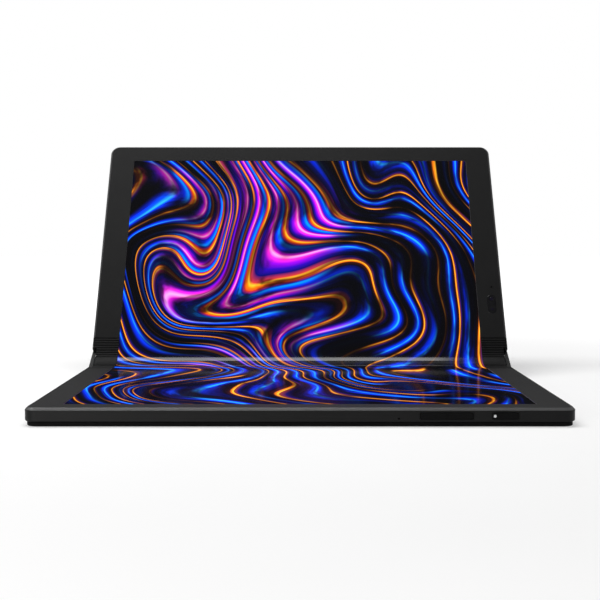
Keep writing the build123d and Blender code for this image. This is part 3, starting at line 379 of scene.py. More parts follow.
def screenMaterial():
    # own flowing ribbons over the unrolled sheet; UV is in units of 100 mm, V zero at the fold
    material, tree, shader = startMaterial("litDisplay")
    place = addNode(tree, "ShaderNodeUVMap", {"uv_map": "sheet"}).outputs["UV"]

    def noiseAt(vector, scale, detail=1.0, roughness=0.5, output="Fac"):
        return noise(tree, vector, scale, detail, roughness, output, "2D")

    centred = addNode(tree, "ShaderNodeVectorMath", {"operation": "SUBTRACT"},
                      {0: noiseAt(place, wallpaper["bendScale"], output="Color"), 1: (0.5, 0.5, 0.5)}).outputs[0]
    flow = addNode(tree, "ShaderNodeVectorMath", {"operation": "MULTIPLY_ADD"},
                   {0: centred, 1: (wallpaper["bend"],) * 3, 2: place}).outputs[0]
    for middle, strength, size in wallpaper["eddies"]:
        centre = (middle[0], middle[1], 0)
        away = addNode(tree, "ShaderNodeVectorMath", {"operation": "DISTANCE"},
                       {0: flow, 1: centre}).outputs["Value"]
        share = calc(tree, "DIVIDE", away, size)
        fall = calc(tree, "POWER", 2.718, calc(tree, "MULTIPLY", calc(tree, "MULTIPLY", share, share), -1.0))
        flow = addNode(tree, "ShaderNodeVectorRotate", {"rotation_type": "AXIS_ANGLE"},
                       {"Vector": flow, "Center": centre, "Axis": (0, 0, 1),
                        "Angle": calc(tree, "MULTIPLY", fall, strength)}).outputs[0]
    flow = addNode(tree, "ShaderNodeVectorRotate", {"rotation_type": "AXIS_ANGLE"},
                   {"Vector": flow, "Axis": (0, 0, 1), "Angle": wallpaper["flowTurn"]}).outputs[0]
    spread = addNode(tree, "ShaderNodeSeparateXYZ", inputs={0: flow})
    across, along = spread.outputs["X"], spread.outputs["Y"]
    squeezed = addNode(tree, "ShaderNodeCombineXYZ",
                       inputs={"X": across, "Y": calc(tree, "MULTIPLY", along, wallpaper["drawnOut"])}).outputs[0]
    wander = noiseAt(squeezed, wallpaper["wanderScale"])
    phase = calc(tree, "ADD", calc(tree, "MULTIPLY", across, wallpaper["linesPerMetre"] / 10),
                 calc(tree, "MULTIPLY", wander, wallpaper["wander"] * 3))
    band = calc(tree, "FRACT", phase)
    streaks = noiseAt(squeezed, wallpaper["streakScale"], 3.0, 0.6)
    narrowed = addNode(tree, "ShaderNodeCombineXYZ",
                       inputs={"X": calc(tree, "MULTIPLY", across, wallpaper["patchStretch"]), "Y": along}).outputs[0]
    patches = noiseAt(narrowed, wallpaper["patchScale"])
    cool = ramp(tree, band, [(0.0, (0.0, 0.0, 0.003)), (0.12, (0.0, 0.002, 0.06)), (0.22, (0.0, 0.014, 0.52)),
                             (0.31, (0.001, 0.07, 1.0)), (0.37, (0.02, 0.36, 1.0)), (0.42, (0.0, 0.03, 0.80)),
                             (0.52, (0.0, 0.004, 0.16)), (0.62, (0.0, 0.0, 0.003)), (0.72, (0.03, 0.004, 0.002)),
                             (0.76, (1.0, 0.22, 0.004)), (0.785, (1.0, 0.50, 0.03)), (0.81, (0.22, 0.03, 0.002)),
                             (0.90, (0.002, 0.002, 0.09)), (1.0, (0.0, 0.0, 0.003))])
    warm = ramp(tree, band, [(0.0, (0.0, 0.001, 0.10)), (0.10, (0.02, 0.0, 0.34)), (0.20, (0.24, 0.0, 0.62)),
                             (0.29, (0.90, 0.02, 0.58)), (0.345, (1.0, 0.30, 0.66)), (0.39, (0.50, 0.0, 0.42)),
                             (0.46, (0.01, 0.002, 0.30)), (0.55, (0.0, 0.03, 0.90)), (0.64, (0.0, 0.26, 1.0)),
                             (0.70, (0.0, 0.008, 0.30)), (0.76, (0.45, 0.02, 0.01)), (0.82, (1.0, 0.16, 0.0)),
                             (0.86, (1.0, 0.52, 0.02)), (0.90, (0.50, 0.03, 0.03)), (1.0, (0.0, 0.001, 0.10))])
    glowAway = addNode(tree, "ShaderNodeVectorMath", {"operation": "DISTANCE"},
                       {0: place, 1: (*wallpaper["glowMiddle"], 0)}).outputs["Value"]
    ragged = calc(tree, "SUBTRACT", noiseAt(flow, wallpaper["glowScale"]), 0.5)
    region = calc(tree, "ADD", calc(tree, "DIVIDE", glowAway, wallpaper["glowReach"]),
                  calc(tree, "MULTIPLY", ragged, wallpaper["glowRagged"]))
    pick = between(tree, region, *wallpaper["glowEdge"])
    shade = calc(tree, "MAXIMUM", between(tree, patches, *wallpaper["patches"]),
                 calc(tree, "MULTIPLY", pick, wallpaper["glowLeast"]))
    light = calc(tree, "MULTIPLY", shade, between(tree, streaks, *wallpaper["streaks"]))
    lit = toneMix(tree, 1.0, toneMix(tree, pick, cool, warm), light, "MULTIPLY")
    tree.links.new(lit, shader.inputs["Emission Color"])
    shader.inputs["Emission Strength"].default_value = wallpaper["level"]
    shader.inputs["Base Color"].default_value = (0.004, 0.004, 0.005, 1)
    tree.links.new(between(tree, noiseAt(place, 9.0, 3.0), 0.0, 1.0, *wallpaper["roughness"], "LINEAR"),
                   shader.inputs["Roughness"])
    facing = addNode(tree, "ShaderNodeLayerWeight", inputs={"Blend": 0.5}).outputs["Facing"]
    tree.links.new(between(tree, facing, *wallpaper["coating"]), shader.inputs["Specular IOR Level"])
    return material


print("materials")
look = {name: moulded(name) for name in finishes}
look.update(leather=leatherMaterial("leatherPaintedLight"), underside=leatherMaterial("leatherPaintedShade"),
            board=boardMaterial(), film=wrapMaterial(), ribbon=ribbonMaterial(), light=lightMaterial(),
            lens=lensMaterial(), window=windowMaterial(), screen=screenMaterial())


# swept pieces: a closed outline of (x, up) carried along stations by a placing function
def sweep(name, stations, outlineAt, placeAt, materials, smoothAngle=35, sheetUv=False):
    points, spots, faces = [], [], []
    for station in stations:
        for x, up in outlineAt(station):
            points.append(placeAt(x, station, up))
            spots.append((x / 100, station / 100))
    size = len(points) // len(stations)
    for row in range(len(stations) - 1):
        for step in range(size):
            a, b = row * size + step, row * size + (step + 1) % size
            faces.append((a, b, b + size, a + size))
    faces.append(tuple(range(size)))
    faces.append(tuple(range(len(points) - size, len(points))))
    piece = addMesh(name, points, faces, materials, smoothAngle)
    if sheetUv:
        layer = piece.data.uv_layers.new(name="sheet")
        for loop in piece.data.loops:
            layer.data[loop.index].uv = spots[loop.vertex_index]
    return piece


def joined(name, pieces):
    # one mesh from several, in order, keeping their materials and UV
    bpy.ops.object.select_all(action="DESELECT")
    for piece in pieces:
        piece.select_set(True)
    bpy.context.view_layer.objects.active = pieces[0]
    bpy.ops.object.join()
    pieces[0].name = name
    return pieces[0]


def steps(first, last, count):
    return [first + (last - first) * step / count for step in range(count + 1)]


def sideways(outline, side):
    return [(side * x, up) for x, up in outline]


# the flexible display, in two stiff panels and two halves of the bend
panel = {"halfWidth": 104.2, "end": 134.95, "bendEnd": 8.5, "rim": 0.12, "bendSteps": 72}


def displayPieces():
    top, low, half, rim = halves["displayTop"], halves["displayLow"], panel["halfWidth"], panel["rim"]
    outline = [(-half, low), (half, low), (half, top - rim), (half - rim, top), (-half + rim, top), (-half, top - rim)]
    topSide = 3
    joint = runAt(panel["bendEnd"])
    far = runAt(panel["end"])
    parts = {}
    for name, runs in (("displayBasePanel", [-far, -joint]),
                       ("displayFoldBase", steps(-joint, 0, panel["bendSteps"])),
                       ("displayFoldLid", steps(0, joint, panel["bendSteps"])),
                       ("displayLidPanel", [joint, far])):
        parts[name] = sweep(name, runs, lambda run: outline, onFold, [look["screen"], look["displayBack"]],
                            sheetUv=True)
        for face in parts[name].data.polygons:      # the picture is on the top face alone
            ends = face.index >= len(outline) * (len(runs) - 1)
            face.material_index = 1 if ends or face.index % len(outline) != topSide else 0
    return parts


print("display")
display = displayPieces()
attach(display["displayBasePanel"], "base")
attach(display["displayLidPanel"], "lid")
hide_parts("display_base")
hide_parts("display_lid")
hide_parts("display_fold")


def turnAtBase(piece):
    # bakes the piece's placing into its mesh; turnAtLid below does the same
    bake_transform(piece)


def turnAtLid(piece):
    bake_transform(piece)


turnAtBase(display["displayFoldBase"])
turnAtLid(display["displayFoldLid"])


# stiff bezel round each display half, open towards the fold
bezel = {
    "low": 1.0, "cornerRadius": 5.5, "openingRadius": 0.9, "lip": 1.3, "lipUnder": 1.85, "edgeRound": 0.3,
    # inset and level, up the outer edge and over the chamfer
    "outerEdge": ((0, 1.0), (0, 1.02), (0.02, 1.10), (0.07, 1.17), (1.03, 2.13), (1.10, 2.18), (1.18, 2.2)),
    "chamferHighlightRows": (2, 3, 4), "rimHighlightRows": (9, 10),          # the chamfer, and the rounding at the display; both carry a painted highlight in their colour
    "sideSteps": 24, "cornerSteps": 12, "endSteps": 30,
}


def openLoop(half, start, end, radius):
    # U-shaped line from the fold end on the left, round the outer edge, to the fold end on the right
    side, across = bezel["sideSteps"], bezel["endSteps"]
    turns = steps(0, pi / 2, bezel["cornerSteps"])
    line = [(-half, start + (end - radius - start) * step / side) for step in range(side)]
    line += [(-half + radius - radius * cos(a), end - radius + radius * sin(a)) for a in turns]
    line += [(-(half - radius) + 2 * (half - radius) * step / across, end) for step in range(1, across)]
    line += [(half - radius + radius * sin(a), end - radius + radius * cos(a)) for a in turns]
    line += [(half, end - radius - (end - radius - start) * step / side) for step in range(1, side + 1)]
    return line


def bezelPiece(name, placeAt, material):
    half, end, start = halves["halfWidth"], halves["reach"], halves["flexStart"]
    rows = [(openLoop(half - inset, start, end - inset, bezel["cornerRadius"] - inset), up)
            for inset, up in bezel["outerEdge"]]
    turn, innerEdge = bezel["edgeRound"], []
    for angle in (0, 22.5, 45, 67.5, 90):
        innerEdge.append((turn - turn * sin(radians(angle)), halves["bezelTop"] - turn + turn * cos(radians(angle))))
    innerEdge += [(0, bezel["lipUnder"]), (bezel["lip"], bezel["lipUnder"]), (bezel["lip"], bezel["low"])]
    for out, up in innerEdge:
        rows.append((openLoop(halves["openingX"] + out, start, halves["openingEnd"] + out,
                              bezel["openingRadius"] + out), up))
    points = [placeAt(x, out, up) for line, up in rows for x, out in line]
    size, count, faces = len(rows[0][0]), len(rows), []
    for row in range(count):
        for step in range(size - 1):
            a, b = row * size + step, ((row + 1) % count) * size + step
            faces.append((a, a + 1, b + 1, b))
    faces.append(tuple(row * size for row in range(count)))
    faces.append(tuple(row * size + size - 1 for row in range(count)))
    # the chamfer and the inner rounding take the painted highlight colours, the rest takes the rubber
    made = addMesh(name, points, faces, [material, look["chamferPaintedHighlight"], look["rimPaintedHighlight"]])
    for face in made.data.polygons:
        row = face.index // (size - 1)
        if row < count:
            face.material_index = 1 if row in bezel["chamferHighlightRows"] else 2 if row in bezel["rimHighlightRows"] else 0
    return made


cameraSpot = {
    "x": 111.2, "out": 33.8, "length": 12.2, "width": 5.0,
    # inset and level of each ring
    "pocket": ((0, 1.62), (0, 2.12), (-0.1, 2.3)),
    "glass": ((0.05, 1.66), (0.05, 2.04), (0.10, 2.10), (0.18, 2.13), (0.32, 2.14)),
    # radius and level of each ring
    "lensOut": 37.2, "rim": ((1.75, 2.13), (1.75, 2.17), (1.68, 2.19), (1.42, 2.19), (1.34, 2.15), (1.30, 2.141)),
    "sensorOut": 30.6, "sensor": ((0.8, 2.132), (0.8, 2.15), (0.74, 2.158)),
    "lensRadius": 1.2, "lensLevel": 2.135, "lensRise": 0.06,
    "microphoneX": 111.9, "microphoneOut": 45.0, "microphoneRadius": 0.5, "microphoneHole": (0.9, 2.4),
}


def pillRing(inset, up, count=48):
    radius = cameraSpot["width"] / 2 - inset
    straight = (cameraSpot["length"] - cameraSpot["width"]) / 2
    ring = []
    for step in range(count):
        angle = 2 * pi * step / count
        ring.append(onLid(cameraSpot["x"] + radius * cos(angle),
                          cameraSpot["out"] + radius * sin(angle) + (straight if sin(angle) >= 0 else -straight), up))
    return ring


def roundRing(x, out, radius, up, count=32):
    return [onLid(x + radius * cos(2 * pi * step / count), out + radius * sin(2 * pi * step / count), up)
            for step in range(count)]


def stacked(name, rings, material, smoothAngle=35):
    size = len(rings[0])
    points = [point for ring in rings for point in ring]
    faces = [tuple(range(size)), tuple(range(len(points) - size, len(points)))]
    for row in range(len(rings) - 1):
        for step in range(size):
            a, b = row * size + step, row * size + (step + 1) % size
            faces.append((a, b, b + size, a + size))
    return addMesh(name, points, faces, material, smoothAngle)


def cutAway(piece, cutter):
    cut = piece.modifiers.new("cut", "BOOLEAN")
    cut.operation = "DIFFERENCE"
    cut.solver = "EXACT"
    cut.object = cutter
    plainMesh(piece)
    bpy.data.objects.remove(cutter)


print("bezels")
# one rubber: the base bezel's copy carries painted light, the lid bezel's painted shade
baseBezel = bezelPiece("baseBezel", onBase, look["baseRubberPaintedLight"])
lidBezel = bezelPiece("lidBezel", onLid, look["lidRubberPaintedShade"])
cutAway(lidBezel, stacked("pillCutter", [pillRing(inset, up) for inset, up in cameraSpot["pocket"]],
                          look["lidRubberPaintedShade"]))
cutAway(lidBezel, stacked("holeCutter", [roundRing(cameraSpot["microphoneX"], cameraSpot["microphoneOut"],
                                                   cameraSpot["microphoneRadius"], up, 20)
                                         for up in cameraSpot["microphoneHole"]], look["lidRubberPaintedShade"]))
for piece, body, node in ((baseBezel, "base", "base_bezel"), (lidBezel, "lid", "lid_bezel")):
    piece.data.set_sharp_from_angle(angle=radians(35))
    evenNormals(piece)
    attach(piece, body)
    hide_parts(node)

print("camera window")
cameraGlass = stacked("cameraGlass", [pillRing(inset, up) for inset, up in cameraSpot["glass"]], look["window"])
lensRim = stacked("cameraLensRim", [roundRing(cameraSpot["x"], cameraSpot["lensOut"], radius, up)
                                    for radius, up in cameraSpot["rim"]], look["buttonPaint"])
dome = []
for step in range(9):
    angle = pi / 2 * step / 8.5         # stops short of the pole, where a small ring closes it
    dome.append(roundRing(cameraSpot["x"], cameraSpot["lensOut"], cameraSpot["lensRadius"] * cos(angle),
                          cameraSpot["lensLevel"] + cameraSpot["lensRise"] * sin(angle)))
lens = stacked("cameraLens", dome, look["lens"], 80)
sensor = stacked("lightSensor", [roundRing(cameraSpot["x"], cameraSpot["sensorOut"], radius, up, 24)
                                 for radius, up in cameraSpot["sensor"]], look["lens"])
for piece in (cameraGlass, lensRim, lens, sensor):
    evenNormals(piece)
    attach(piece, "lid")
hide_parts("camera_window")


# ribbed rubber over the fold, at both sides of the display
foldRubber = {
    "inner": 103.0, "seat": 104.3, "step": 115.6, "outer": 118.0, "low": 1.6, "lipLow": 1.85, "chamfer": 1.1,
    "round": 0.3, "capReach": 5.7,
    "ribFirst": 0.6, "ribPitch": 1.5, "ribCount": 8, "ribDepth": 0.25,
    "ribShare": 0.68,               # width of a rib against the pitch
    "ribStart": 0.25, "ribOver": 0.1,       # in from the display's edge, and into the next surface
    "capClear": 0.4,                # the ribs up to here past the cap's reach stay short
    "wallGap": 0.02,                # half the length of the step at each end of the ribs
    "bendSteps": 16, "ribSteps": 56, "jointSteps": 4,
}


def ribSpan():
    # the lowered strip: from half a pitch before the first rib to the middle of the last one
    first = runAt(foldRubber["ribFirst"]) - foldRubber["ribPitch"] / 2
    return first, first + foldRubber["ribPitch"] * (foldRubber["ribCount"] + 0.5)


def rubberTop(run):
    # lower between the ribs, full height in the middle and at the joint with the stiff bezel
    first, last = ribSpan()
    top = halves["bezelTop"]
    return top - foldRubber["ribDepth"] if first < abs(run) < last else top


def rubberOutline(run):
    top, r = rubberTop(run), foldRubber["round"]
    inner = [(foldRubber["inner"] + r - r * cos(a), top - r + r * sin(a)) for a in steps(0, pi / 2, 4)]
    return ([(foldRubber["inner"], foldRubber["lipLow"])] + inner
            + [(foldRubber["step"], top), (foldRubber["step"], foldRubber["low"]),
               (foldRubber["seat"], foldRubber["low"]), (foldRubber["seat"], foldRubber["lipLow"])])


def edgeOutline(run):
    top, outer = rubberTop(run), foldRubber["outer"]
    lean = outer - foldRubber["chamfer"] + halves["bezelTop"]
    return [(foldRubber["step"], foldRubber["low"]), (lean - foldRubber["low"], foldRubber["low"]),
            (lean - top + 0.05, top - 0.05), (lean - top - 0.08, top), (foldRubber["step"], top)]


def ribTree():
    # a row of rounded bars, in unrolled places: X across, Y along the run
    tree = bpy.data.node_groups.new("ribRow", "GeometryNodeTree")
    face = tree.interface
    face.new_socket("Geometry", in_out="INPUT", socket_type="NodeSocketGeometry")
    sockets = {}
    for name, kind, value in (("Count", "NodeSocketInt", 8), ("Pitch", "NodeSocketFloat", 1.5),
                              ("First", "NodeSocketFloat", 0.0), ("Inner", "NodeSocketFloat", 103.0),
                              ("Outer", "NodeSocketFloat", 117.0), ("Width", "NodeSocketFloat", 1.0),
                              ("Height", "NodeSocketFloat", 0.25), ("Level", "NodeSocketFloat", 1.95),
                              ("Material", "NodeSocketMaterial", None)):
        socket = face.new_socket(name, in_out="INPUT", socket_type=kind)
        if value is not None:
            socket.default_value = value
        sockets[name] = socket.identifier
    face.new_socket("Geometry", in_out="OUTPUT", socket_type="NodeSocketGeometry")
    given = tree.nodes.new("NodeGroupInput").outputs
    out = tree.nodes.new("NodeGroupOutput")

    def put(kind, **inputs):
        made = tree.nodes.new(kind)
        for key, value in inputs.items():
            socket = made.inputs[key.replace("_", " ")]
            if isinstance(value, bpy.types.NodeSocket):
                tree.links.new(value, socket)
            else:
                socket.default_value = value
        return made

    start = put("ShaderNodeCombineXYZ", X=given["Inner"])
    stop = put("ShaderNodeCombineXYZ", X=given["Outer"])
    path = put("GeometryNodeCurvePrimitiveLine", Start=start.outputs[0], End=stop.outputs[0])
    spans = put("GeometryNodeResampleCurve", Curve=path.outputs[0], Count=4)
    circle = put("GeometryNodeCurvePrimitiveCircle", Resolution=12, Radius=1.0)
    bar = put("GeometryNodeCurveToMesh", Curve=spans.outputs[0], Profile_Curve=circle.outputs[0], Fill_Caps=True)
    halfWidth = put("ShaderNodeMath")
    halfWidth.operation = "MULTIPLY"
    tree.links.new(given["Width"], halfWidth.inputs[0])
    halfWidth.inputs[1].default_value = 0.5
    size = put("ShaderNodeCombineXYZ", X=1.0, Y=halfWidth.outputs[0], Z=given["Height"])
    flat = put("GeometryNodeTransform", Geometry=bar.outputs[0], Scale=size.outputs[0])
    places = put("ShaderNodeCombineXYZ", X=0.0, Y=given["First"], Z=given["Level"])
    gap = put("ShaderNodeCombineXYZ", X=0.0, Y=given["Pitch"], Z=0.0)
    row = tree.nodes.new("GeometryNodeMeshLine")
    tree.links.new(given["Count"], row.inputs["Count"])
    tree.links.new(places.outputs[0], row.inputs["Start Location"])
    tree.links.new(gap.outputs[0], row.inputs["Offset"])
    spread = put("GeometryNodeInstanceOnPoints", Points=row.outputs[0], Instance=flat.outputs[0])
    solid = put("GeometryNodeRealizeInstances", Geometry=spread.outputs[0])
    dressed = put("GeometryNodeSetMaterial", Geometry=solid.outputs[0], Material=given["Material"])
    tree.links.new(dressed.outputs[0], out.inputs[0])
    return tree, sockets


ribs, ribInputs = ribTree()


def ribRow(name, side, end, first, count, inner, outer):
    # end is -1 for the base's ribs and 1 for the lid's
    mesh = bpy.data.meshes.new(name)
    piece = bpy.data.objects.new(name, mesh)
    bpy.context.scene.collection.objects.link(piece)
    made = piece.modifiers.new("ribRow", "NODES")
    made.node_group = ribs
    for key, value in (("Count", count), ("Pitch", foldRubber["ribPitch"]), ("First", first), ("Inner", inner),
                       ("Outer", outer), ("Width", foldRubber["ribPitch"] * foldRubber["ribShare"]),
                       ("Height", foldRubber["ribDepth"]),
                       ("Level", halves["bezelTop"] - foldRubber["ribDepth"]), ("Material", look["foldRubber"])):
        made[ribInputs[key]] = value
    plainMesh(piece)
    for vertex in piece.data.vertices:
        vertex.co = onFold(side * vertex.co.x, end * vertex.co.y, vertex.co.z)
    faceOutwards(piece.data)
    piece.data.shade_smooth()
    piece.data.set_sharp_from_angle(angle=radians(50))
    return piece


def rubberRuns(end):
    # rows along the fold: fine steps round the bend and a sharp step at each end of the ribs
    first, last = ribSpan()
    far, gap = runAt(halves["flexStart"]), foldRubber["wallGap"]
    runs = steps(0, first - gap, foldRubber["bendSteps"]) + steps(first + gap, last - gap, foldRubber["ribSteps"])
    if far > last:
        runs += steps(last + gap, far, foldRubber["jointSteps"])
    return [end * run for run in (runs if end > 0 else runs[::-1])]


def rubberPiece(name, end):
    # beside the end cap the ribs stop at the step; beyond it they reach the chamfer
    parts, pitch = [], foldRubber["ribPitch"]
    beyond = runAt(foldRubber["capReach"])
    centre = ribSpan()[0] + pitch / 2
    inside = [step for step in range(foldRubber["ribCount"] + 1)
              if centre + pitch * step < beyond + foldRubber["capClear"]]
    outside = foldRubber["ribCount"] + 1 - len(inside)
    near = foldRubber["inner"] + foldRubber["ribStart"]
    for side in (-1, 1):
        # band, strip and ribs take the fold rubber, whose darker colour is painted shade
        parts.append(sweep("band", rubberRuns(end), lambda run: sideways(rubberOutline(run), side), onFold,
                           look["foldRubber"]))
        strip = [run for run in rubberRuns(end) if abs(run) > beyond]
        parts.append(sweep("strip", strip, lambda run: sideways(edgeOutline(run), side), onFold,
                           look["foldRubber"]))
        parts.append(ribRow("innerRibs", side, end, centre, len(inside), near,
                            foldRubber["step"] - foldRubber["ribOver"]))
        if outside > 0:
            parts.append(ribRow("outerRibs", side, end, centre + pitch * len(inside), outside, near,
                                foldRubber["outer"] - foldRubber["chamfer"] + foldRubber["ribOver"]))
    return joined(name, parts)


print("fold rubber")
rubberBase = rubberPiece("foldRubberBase", -1)
rubberLid = rubberPiece("foldRubberLid", 1)
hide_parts("bezel_fold_left", "bezel_fold_right")
turnAtBase(rubberBase)
turnAtLid(rubberLid)


# leather drawn round both axes; rings about the axes and a straight run between them
spineLeather = {"inside": 4.5, "outside": 5.1, "halfWidth": 115.8, "start": 0.3, "tail": 17.2, "edge": 0.2,
                "ringSteps": 20}


def onSpine(x, along, up):
    # along runs from the base's axis through the ring, over the spine and round the lid's ring
    ring = spineLeather["outside"] * halfFold
    gap = halves["axisSpacing"]
    if along < 0:
        return onBase(x, -along, up)
    if along <= ring:
        angle = along / spineLeather["outside"]
        return (Vector((x, 0, 0)) + baseAxis + up * Vector((0, -sin(angle), cos(angle)))) * millimetre
    if along < ring + gap:
        return (Vector((x, 0, 0)) + baseAxis + spineAlong * (along - ring)
                + up * Vector((0, -sin(halfFold), cos(halfFold)))) * millimetre
    if along < 2 * ring + gap:
        angle = halfFold + (along - ring - gap) / spineLeather["outside"]
        return (Vector((x, 0, 0)) + lidAxis + up * Vector((0, -sin(angle), cos(angle)))) * millimetre
    return onLid(x, along - 2 * ring - gap, up)


def leatherOutline(along):
    low, high, half, r = (-spineLeather["outside"], -spineLeather["inside"], spineLeather["halfWidth"],
                          spineLeather["edge"])
    return [(-half + r, low), (half - r, low), (half, low + r), (half, high), (-half, high), (-half, low + r)]


print("leather spine")
spineAlong = Vector((0, cos(halfFold), sin(halfFold)))
ring = spineLeather["outside"] * halfFold
middleAlong = ring + halves["axisSpacing"] / 2
baseAlong = [-spineLeather["start"]] + steps(0, ring, spineLeather["ringSteps"]) + [middleAlong]
leatherBase = sweep("leatherFoldBase", baseAlong, leatherOutline, onSpine, look["leather"])
lidEnd = 2 * ring + halves["axisSpacing"]
lidStations = ([middleAlong] + steps(middleAlong + halves["axisSpacing"] / 2, lidEnd, spineLeather["ringSteps"])
               + [lidEnd + spineLeather["tail"]])
leatherLid = sweep("leatherFoldLid", lidStations, leatherOutline, onSpine, look["leather"])


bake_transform(leatherBase)
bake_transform(leatherLid)
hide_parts("leather_spine")


# ribbon cable between the boards, over the spine plate
ribbonRoute = {
    "x": (-32.0, -8.0), "thick": 0.1,
    # out from the axis and level on each half
    "route": [(20.0, -1.0), (12.0, -1.0), (7.4, -1.02), (6.2, -1.35), (4.0, -2.62), (2.6, -2.95), (1.0, -3.6),
              (0.2, -3.99)],
    "spineLevel": -3.99, "spineShares": (0.25, 0.5, 0.75),
}


def onRibbon(x, step, up):
    # the route's points on the base, three on the spine, and the same points mirrored on the lid
    base = [onBase(x, out, level + up) for out, level in ribbonRoute["route"]]
    lid = [onLid(x, out, level + up) for out, level in reversed(ribbonRoute["route"])]
    spine = []
    for share in ribbonRoute["spineShares"]:
        along = halves["axisSpacing"] * share
        spine.append((Vector((x, 0, 0)) + baseAxis + spineAlong * along
                      + (ribbonRoute["spineLevel"] + up) * Vector((0, -sin(halfFold), cos(halfFold)))) * millimetre)
    return (base + spine + lid)[step]


print("ribbon")
(left, right), thick = ribbonRoute["x"], ribbonRoute["thick"]
ribbonOutline = [(left, 0), (right, 0), (right, thick), (left, thick)]
count = len(ribbonRoute["route"])
ribbonBase = sweep("ribbonBase", range(count + 2), lambda step: ribbonOutline, onRibbon, look["ribbon"], 60)
ribbonLid = sweep("ribbonLid", range(count + 1, 2 * count + 3), lambda step: ribbonOutline, onRibbon,
                  look["ribbon"], 60)
turnAtBase(ribbonBase)
turnAtLid(ribbonLid)
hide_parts("flex_cable")


# looks of the CAD nodes that stay
nodeLooks = {
    "casingPaint": ["base_chassis", "lid_chassis", "spine_end_caps", "kickstand", "sim_tray", "spine_plate"],
    "buttonPaint": ["power_button", "volume_rocker"],
    "leather": ["lid_cover"],
    # the base cover takes the darker leather copy, painted shade
    "underside": ["base_cover"],
    "light": ["power_light"],
    "brushedSteel": ["base_display_plate", "lid_display_plate", "base_hinge_arms", "lid_hinge_arms",
                     "base_gear_shafts", "lid_gear_shafts", "spine_brackets", "lid_cover_rails",
                     "idler_gear_left_base", "idler_gear_left_lid", "idler_gear_right_base", "idler_gear_right_lid"],
    "screwSteel": ["base_screws", "lid_screws", "hinge_disc_springs", "kickstand_pins"],
    "board": ["main_board", "io_board", "button_board", "display_board", "ssd_module", "wireless_module"],
    "chipResin": ["board_chips", "base_microphone", "lid_microphone", "camera_module"],
    "shieldSteel": ["board_shield"],
    "film": ["base_battery", "lid_battery"],
    "fanPlastic": ["fan_housing", "fan_rotor", "speaker"],
    "warmCopper": ["heat_pipe", "cooling_fins", "lid_antennas"],
    "socketSteel": ["usb_c_port_base", "usb_c_port_lid", "sim_reader"],
}

print("node materials")
for finish, names in nodeLooks.items():
    for name in names:
        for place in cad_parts[name].material_slots:
            place.material = look[finish]


# floor, light and camera
studio = {
    "floorTone": (0.60, 0.60, 0.60), "floorSize": 6.0,
    "floorLift": 0.40, "farLift": 1.0, "liftFrom": 0.20, "liftTo": 0.75,      # white from some way off, in metres
    "ambient": 0.19,                # what the surroundings add to the light on the object
    # in a reflection: bright behind the object, dark on the camera's side and towards the horizon
    "mirrored": 0.70, "frontGlow": 0.06, "glowAcross": (-0.2, 0.8),
    "lowGlow": 0.04, "darkBelow": 0.22, "brightAbove": 0.60,
    # place, aim, width, height, watts, tint
    "lamps": [("overheadLamp", (-0.26, 0.12, 0.80), (-0.26, 0.13, 0.0), 0.90, 0.27, 6.8, (1.0, 1.0, 1.0)),
              ("leftLamp", (-0.42, -0.79, 0.15), (-0.08, 0.0, 0.02), 0.28, 0.22, 2.7, (1.0, 0.99, 0.97)),
              ("rightLamp", (0.75, -0.20, 0.45), (0.02, 0.0, 0.03), 0.35, 0.35, 0.5, (0.97, 0.98, 1.0))],
    "cameraPlace": (0.0, -0.5224, 0.0826), "cameraDown": 3.63, "lens": 64.2, "sensorWidth": 36.0,
}


def whiteRays(tree):
    # one for what is seen at once or through glass, and one for what is seen in a reflection
    rays = addNode(tree, "ShaderNodeLightPath")
    seen = calc(tree, "MAXIMUM", rays.outputs["Is Camera Ray"], rays.outputs["Is Transmission Ray"])
    return seen, rays.outputs["Is Glossy Ray"]


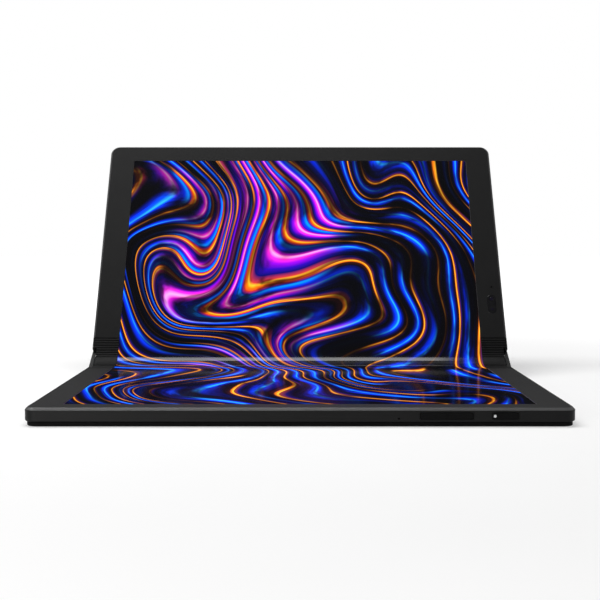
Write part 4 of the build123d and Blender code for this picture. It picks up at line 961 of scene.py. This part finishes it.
def paleFloor():
    bpy.ops.mesh.primitive_grid_add(x_subdivisions=8, y_subdivisions=8, size=studio["floorSize"])
    floor = bpy.context.object
    floor.name = "studioFloor"
    material, tree, shader = startMaterial("paleFloor")
    grain = noise(tree, objectPlace(tree), 14.0, 4.0)
    tone = studio["floorTone"]
    tree.links.new(ramp(tree, grain, [(0.3, tuple(0.985 * part for part in tone)), (0.7, tone)]),
                   shader.inputs["Base Color"])
    shader.inputs["Roughness"].default_value = 0.9
    shader.inputs["Specular IOR Level"].default_value = 0.0
    shader.inputs["Emission Color"].default_value = (1, 1, 1, 1)
    seen, glossy = whiteRays(tree)
    away = addNode(tree, "ShaderNodeVectorMath", {"operation": "LENGTH"}, {0: objectPlace(tree)}).outputs["Value"]
    lift = between(tree, away, studio["liftFrom"], studio["liftTo"], studio["floorLift"], studio["farLift"])
    dimmed = calc(tree, "MULTIPLY", glossy, studio["mirrored"])
    tree.links.new(calc(tree, "MULTIPLY", calc(tree, "MAXIMUM", seen, dimmed), lift),
                   shader.inputs["Emission Strength"])
    floor.data.materials.append(material)


def whiteWorld():
    world = bpy.data.worlds.new("studioWorld")
    bpy.context.scene.world = world
    world.use_nodes = True
    tree = world.node_tree
    backdrop = tree.nodes["Background"]
    backdrop.inputs["Color"].default_value = (1, 1, 1, 1)
    seen, glossy = whiteRays(tree)
    way = addNode(tree, "ShaderNodeTexCoord").outputs["Generated"]
    facing = addNode(tree, "ShaderNodeSeparateXYZ", inputs={0: way})
    glow = between(tree, facing.outputs["Y"], *studio["glowAcross"], studio["frontGlow"], studio["mirrored"])
    rise = between(tree, facing.outputs["Z"], studio["darkBelow"], studio["brightAbove"], studio["lowGlow"])
    mirror = addNode(tree, "ShaderNodeMix", {"data_type": "FLOAT"},
                     {0: glossy, 2: studio["ambient"], 3: calc(tree, "MULTIPLY", glow, rise)}).outputs[0]
    tree.links.new(calc(tree, "MAXIMUM", seen, mirror), backdrop.inputs["Strength"])


def softLamp(name, place, aim, width, height, watts, tint):
    lamp = bpy.data.lights.new(name, "AREA")
    lamp.shape = "RECTANGLE"
    lamp.size, lamp.size_y, lamp.energy, lamp.color = width, height, watts, tint
    piece = bpy.data.objects.new(name, lamp)
    piece.location = place
    piece.rotation_euler = (Vector(aim) - Vector(place)).to_track_quat("-Z", "Y").to_euler()
    bpy.context.scene.collection.objects.link(piece)


print("stage")
paleFloor()
whiteWorld()
for lamp in studio["lamps"]:
    softLamp(*lamp)
shot = bpy.data.cameras.new("photoCamera")
shot.lens, shot.sensor_width, shot.clip_start = studio["lens"], studio["sensorWidth"], 0.01
camera = bpy.data.objects.new("photoCamera", shot)
camera.location = studio["cameraPlace"]
camera.rotation_euler = (radians(90 - studio["cameraDown"]), 0, 0)
bpy.context.scene.collection.objects.link(camera)
bpy.context.scene.camera = camera
bpy.context.scene.view_settings.view_transform = "Standard"
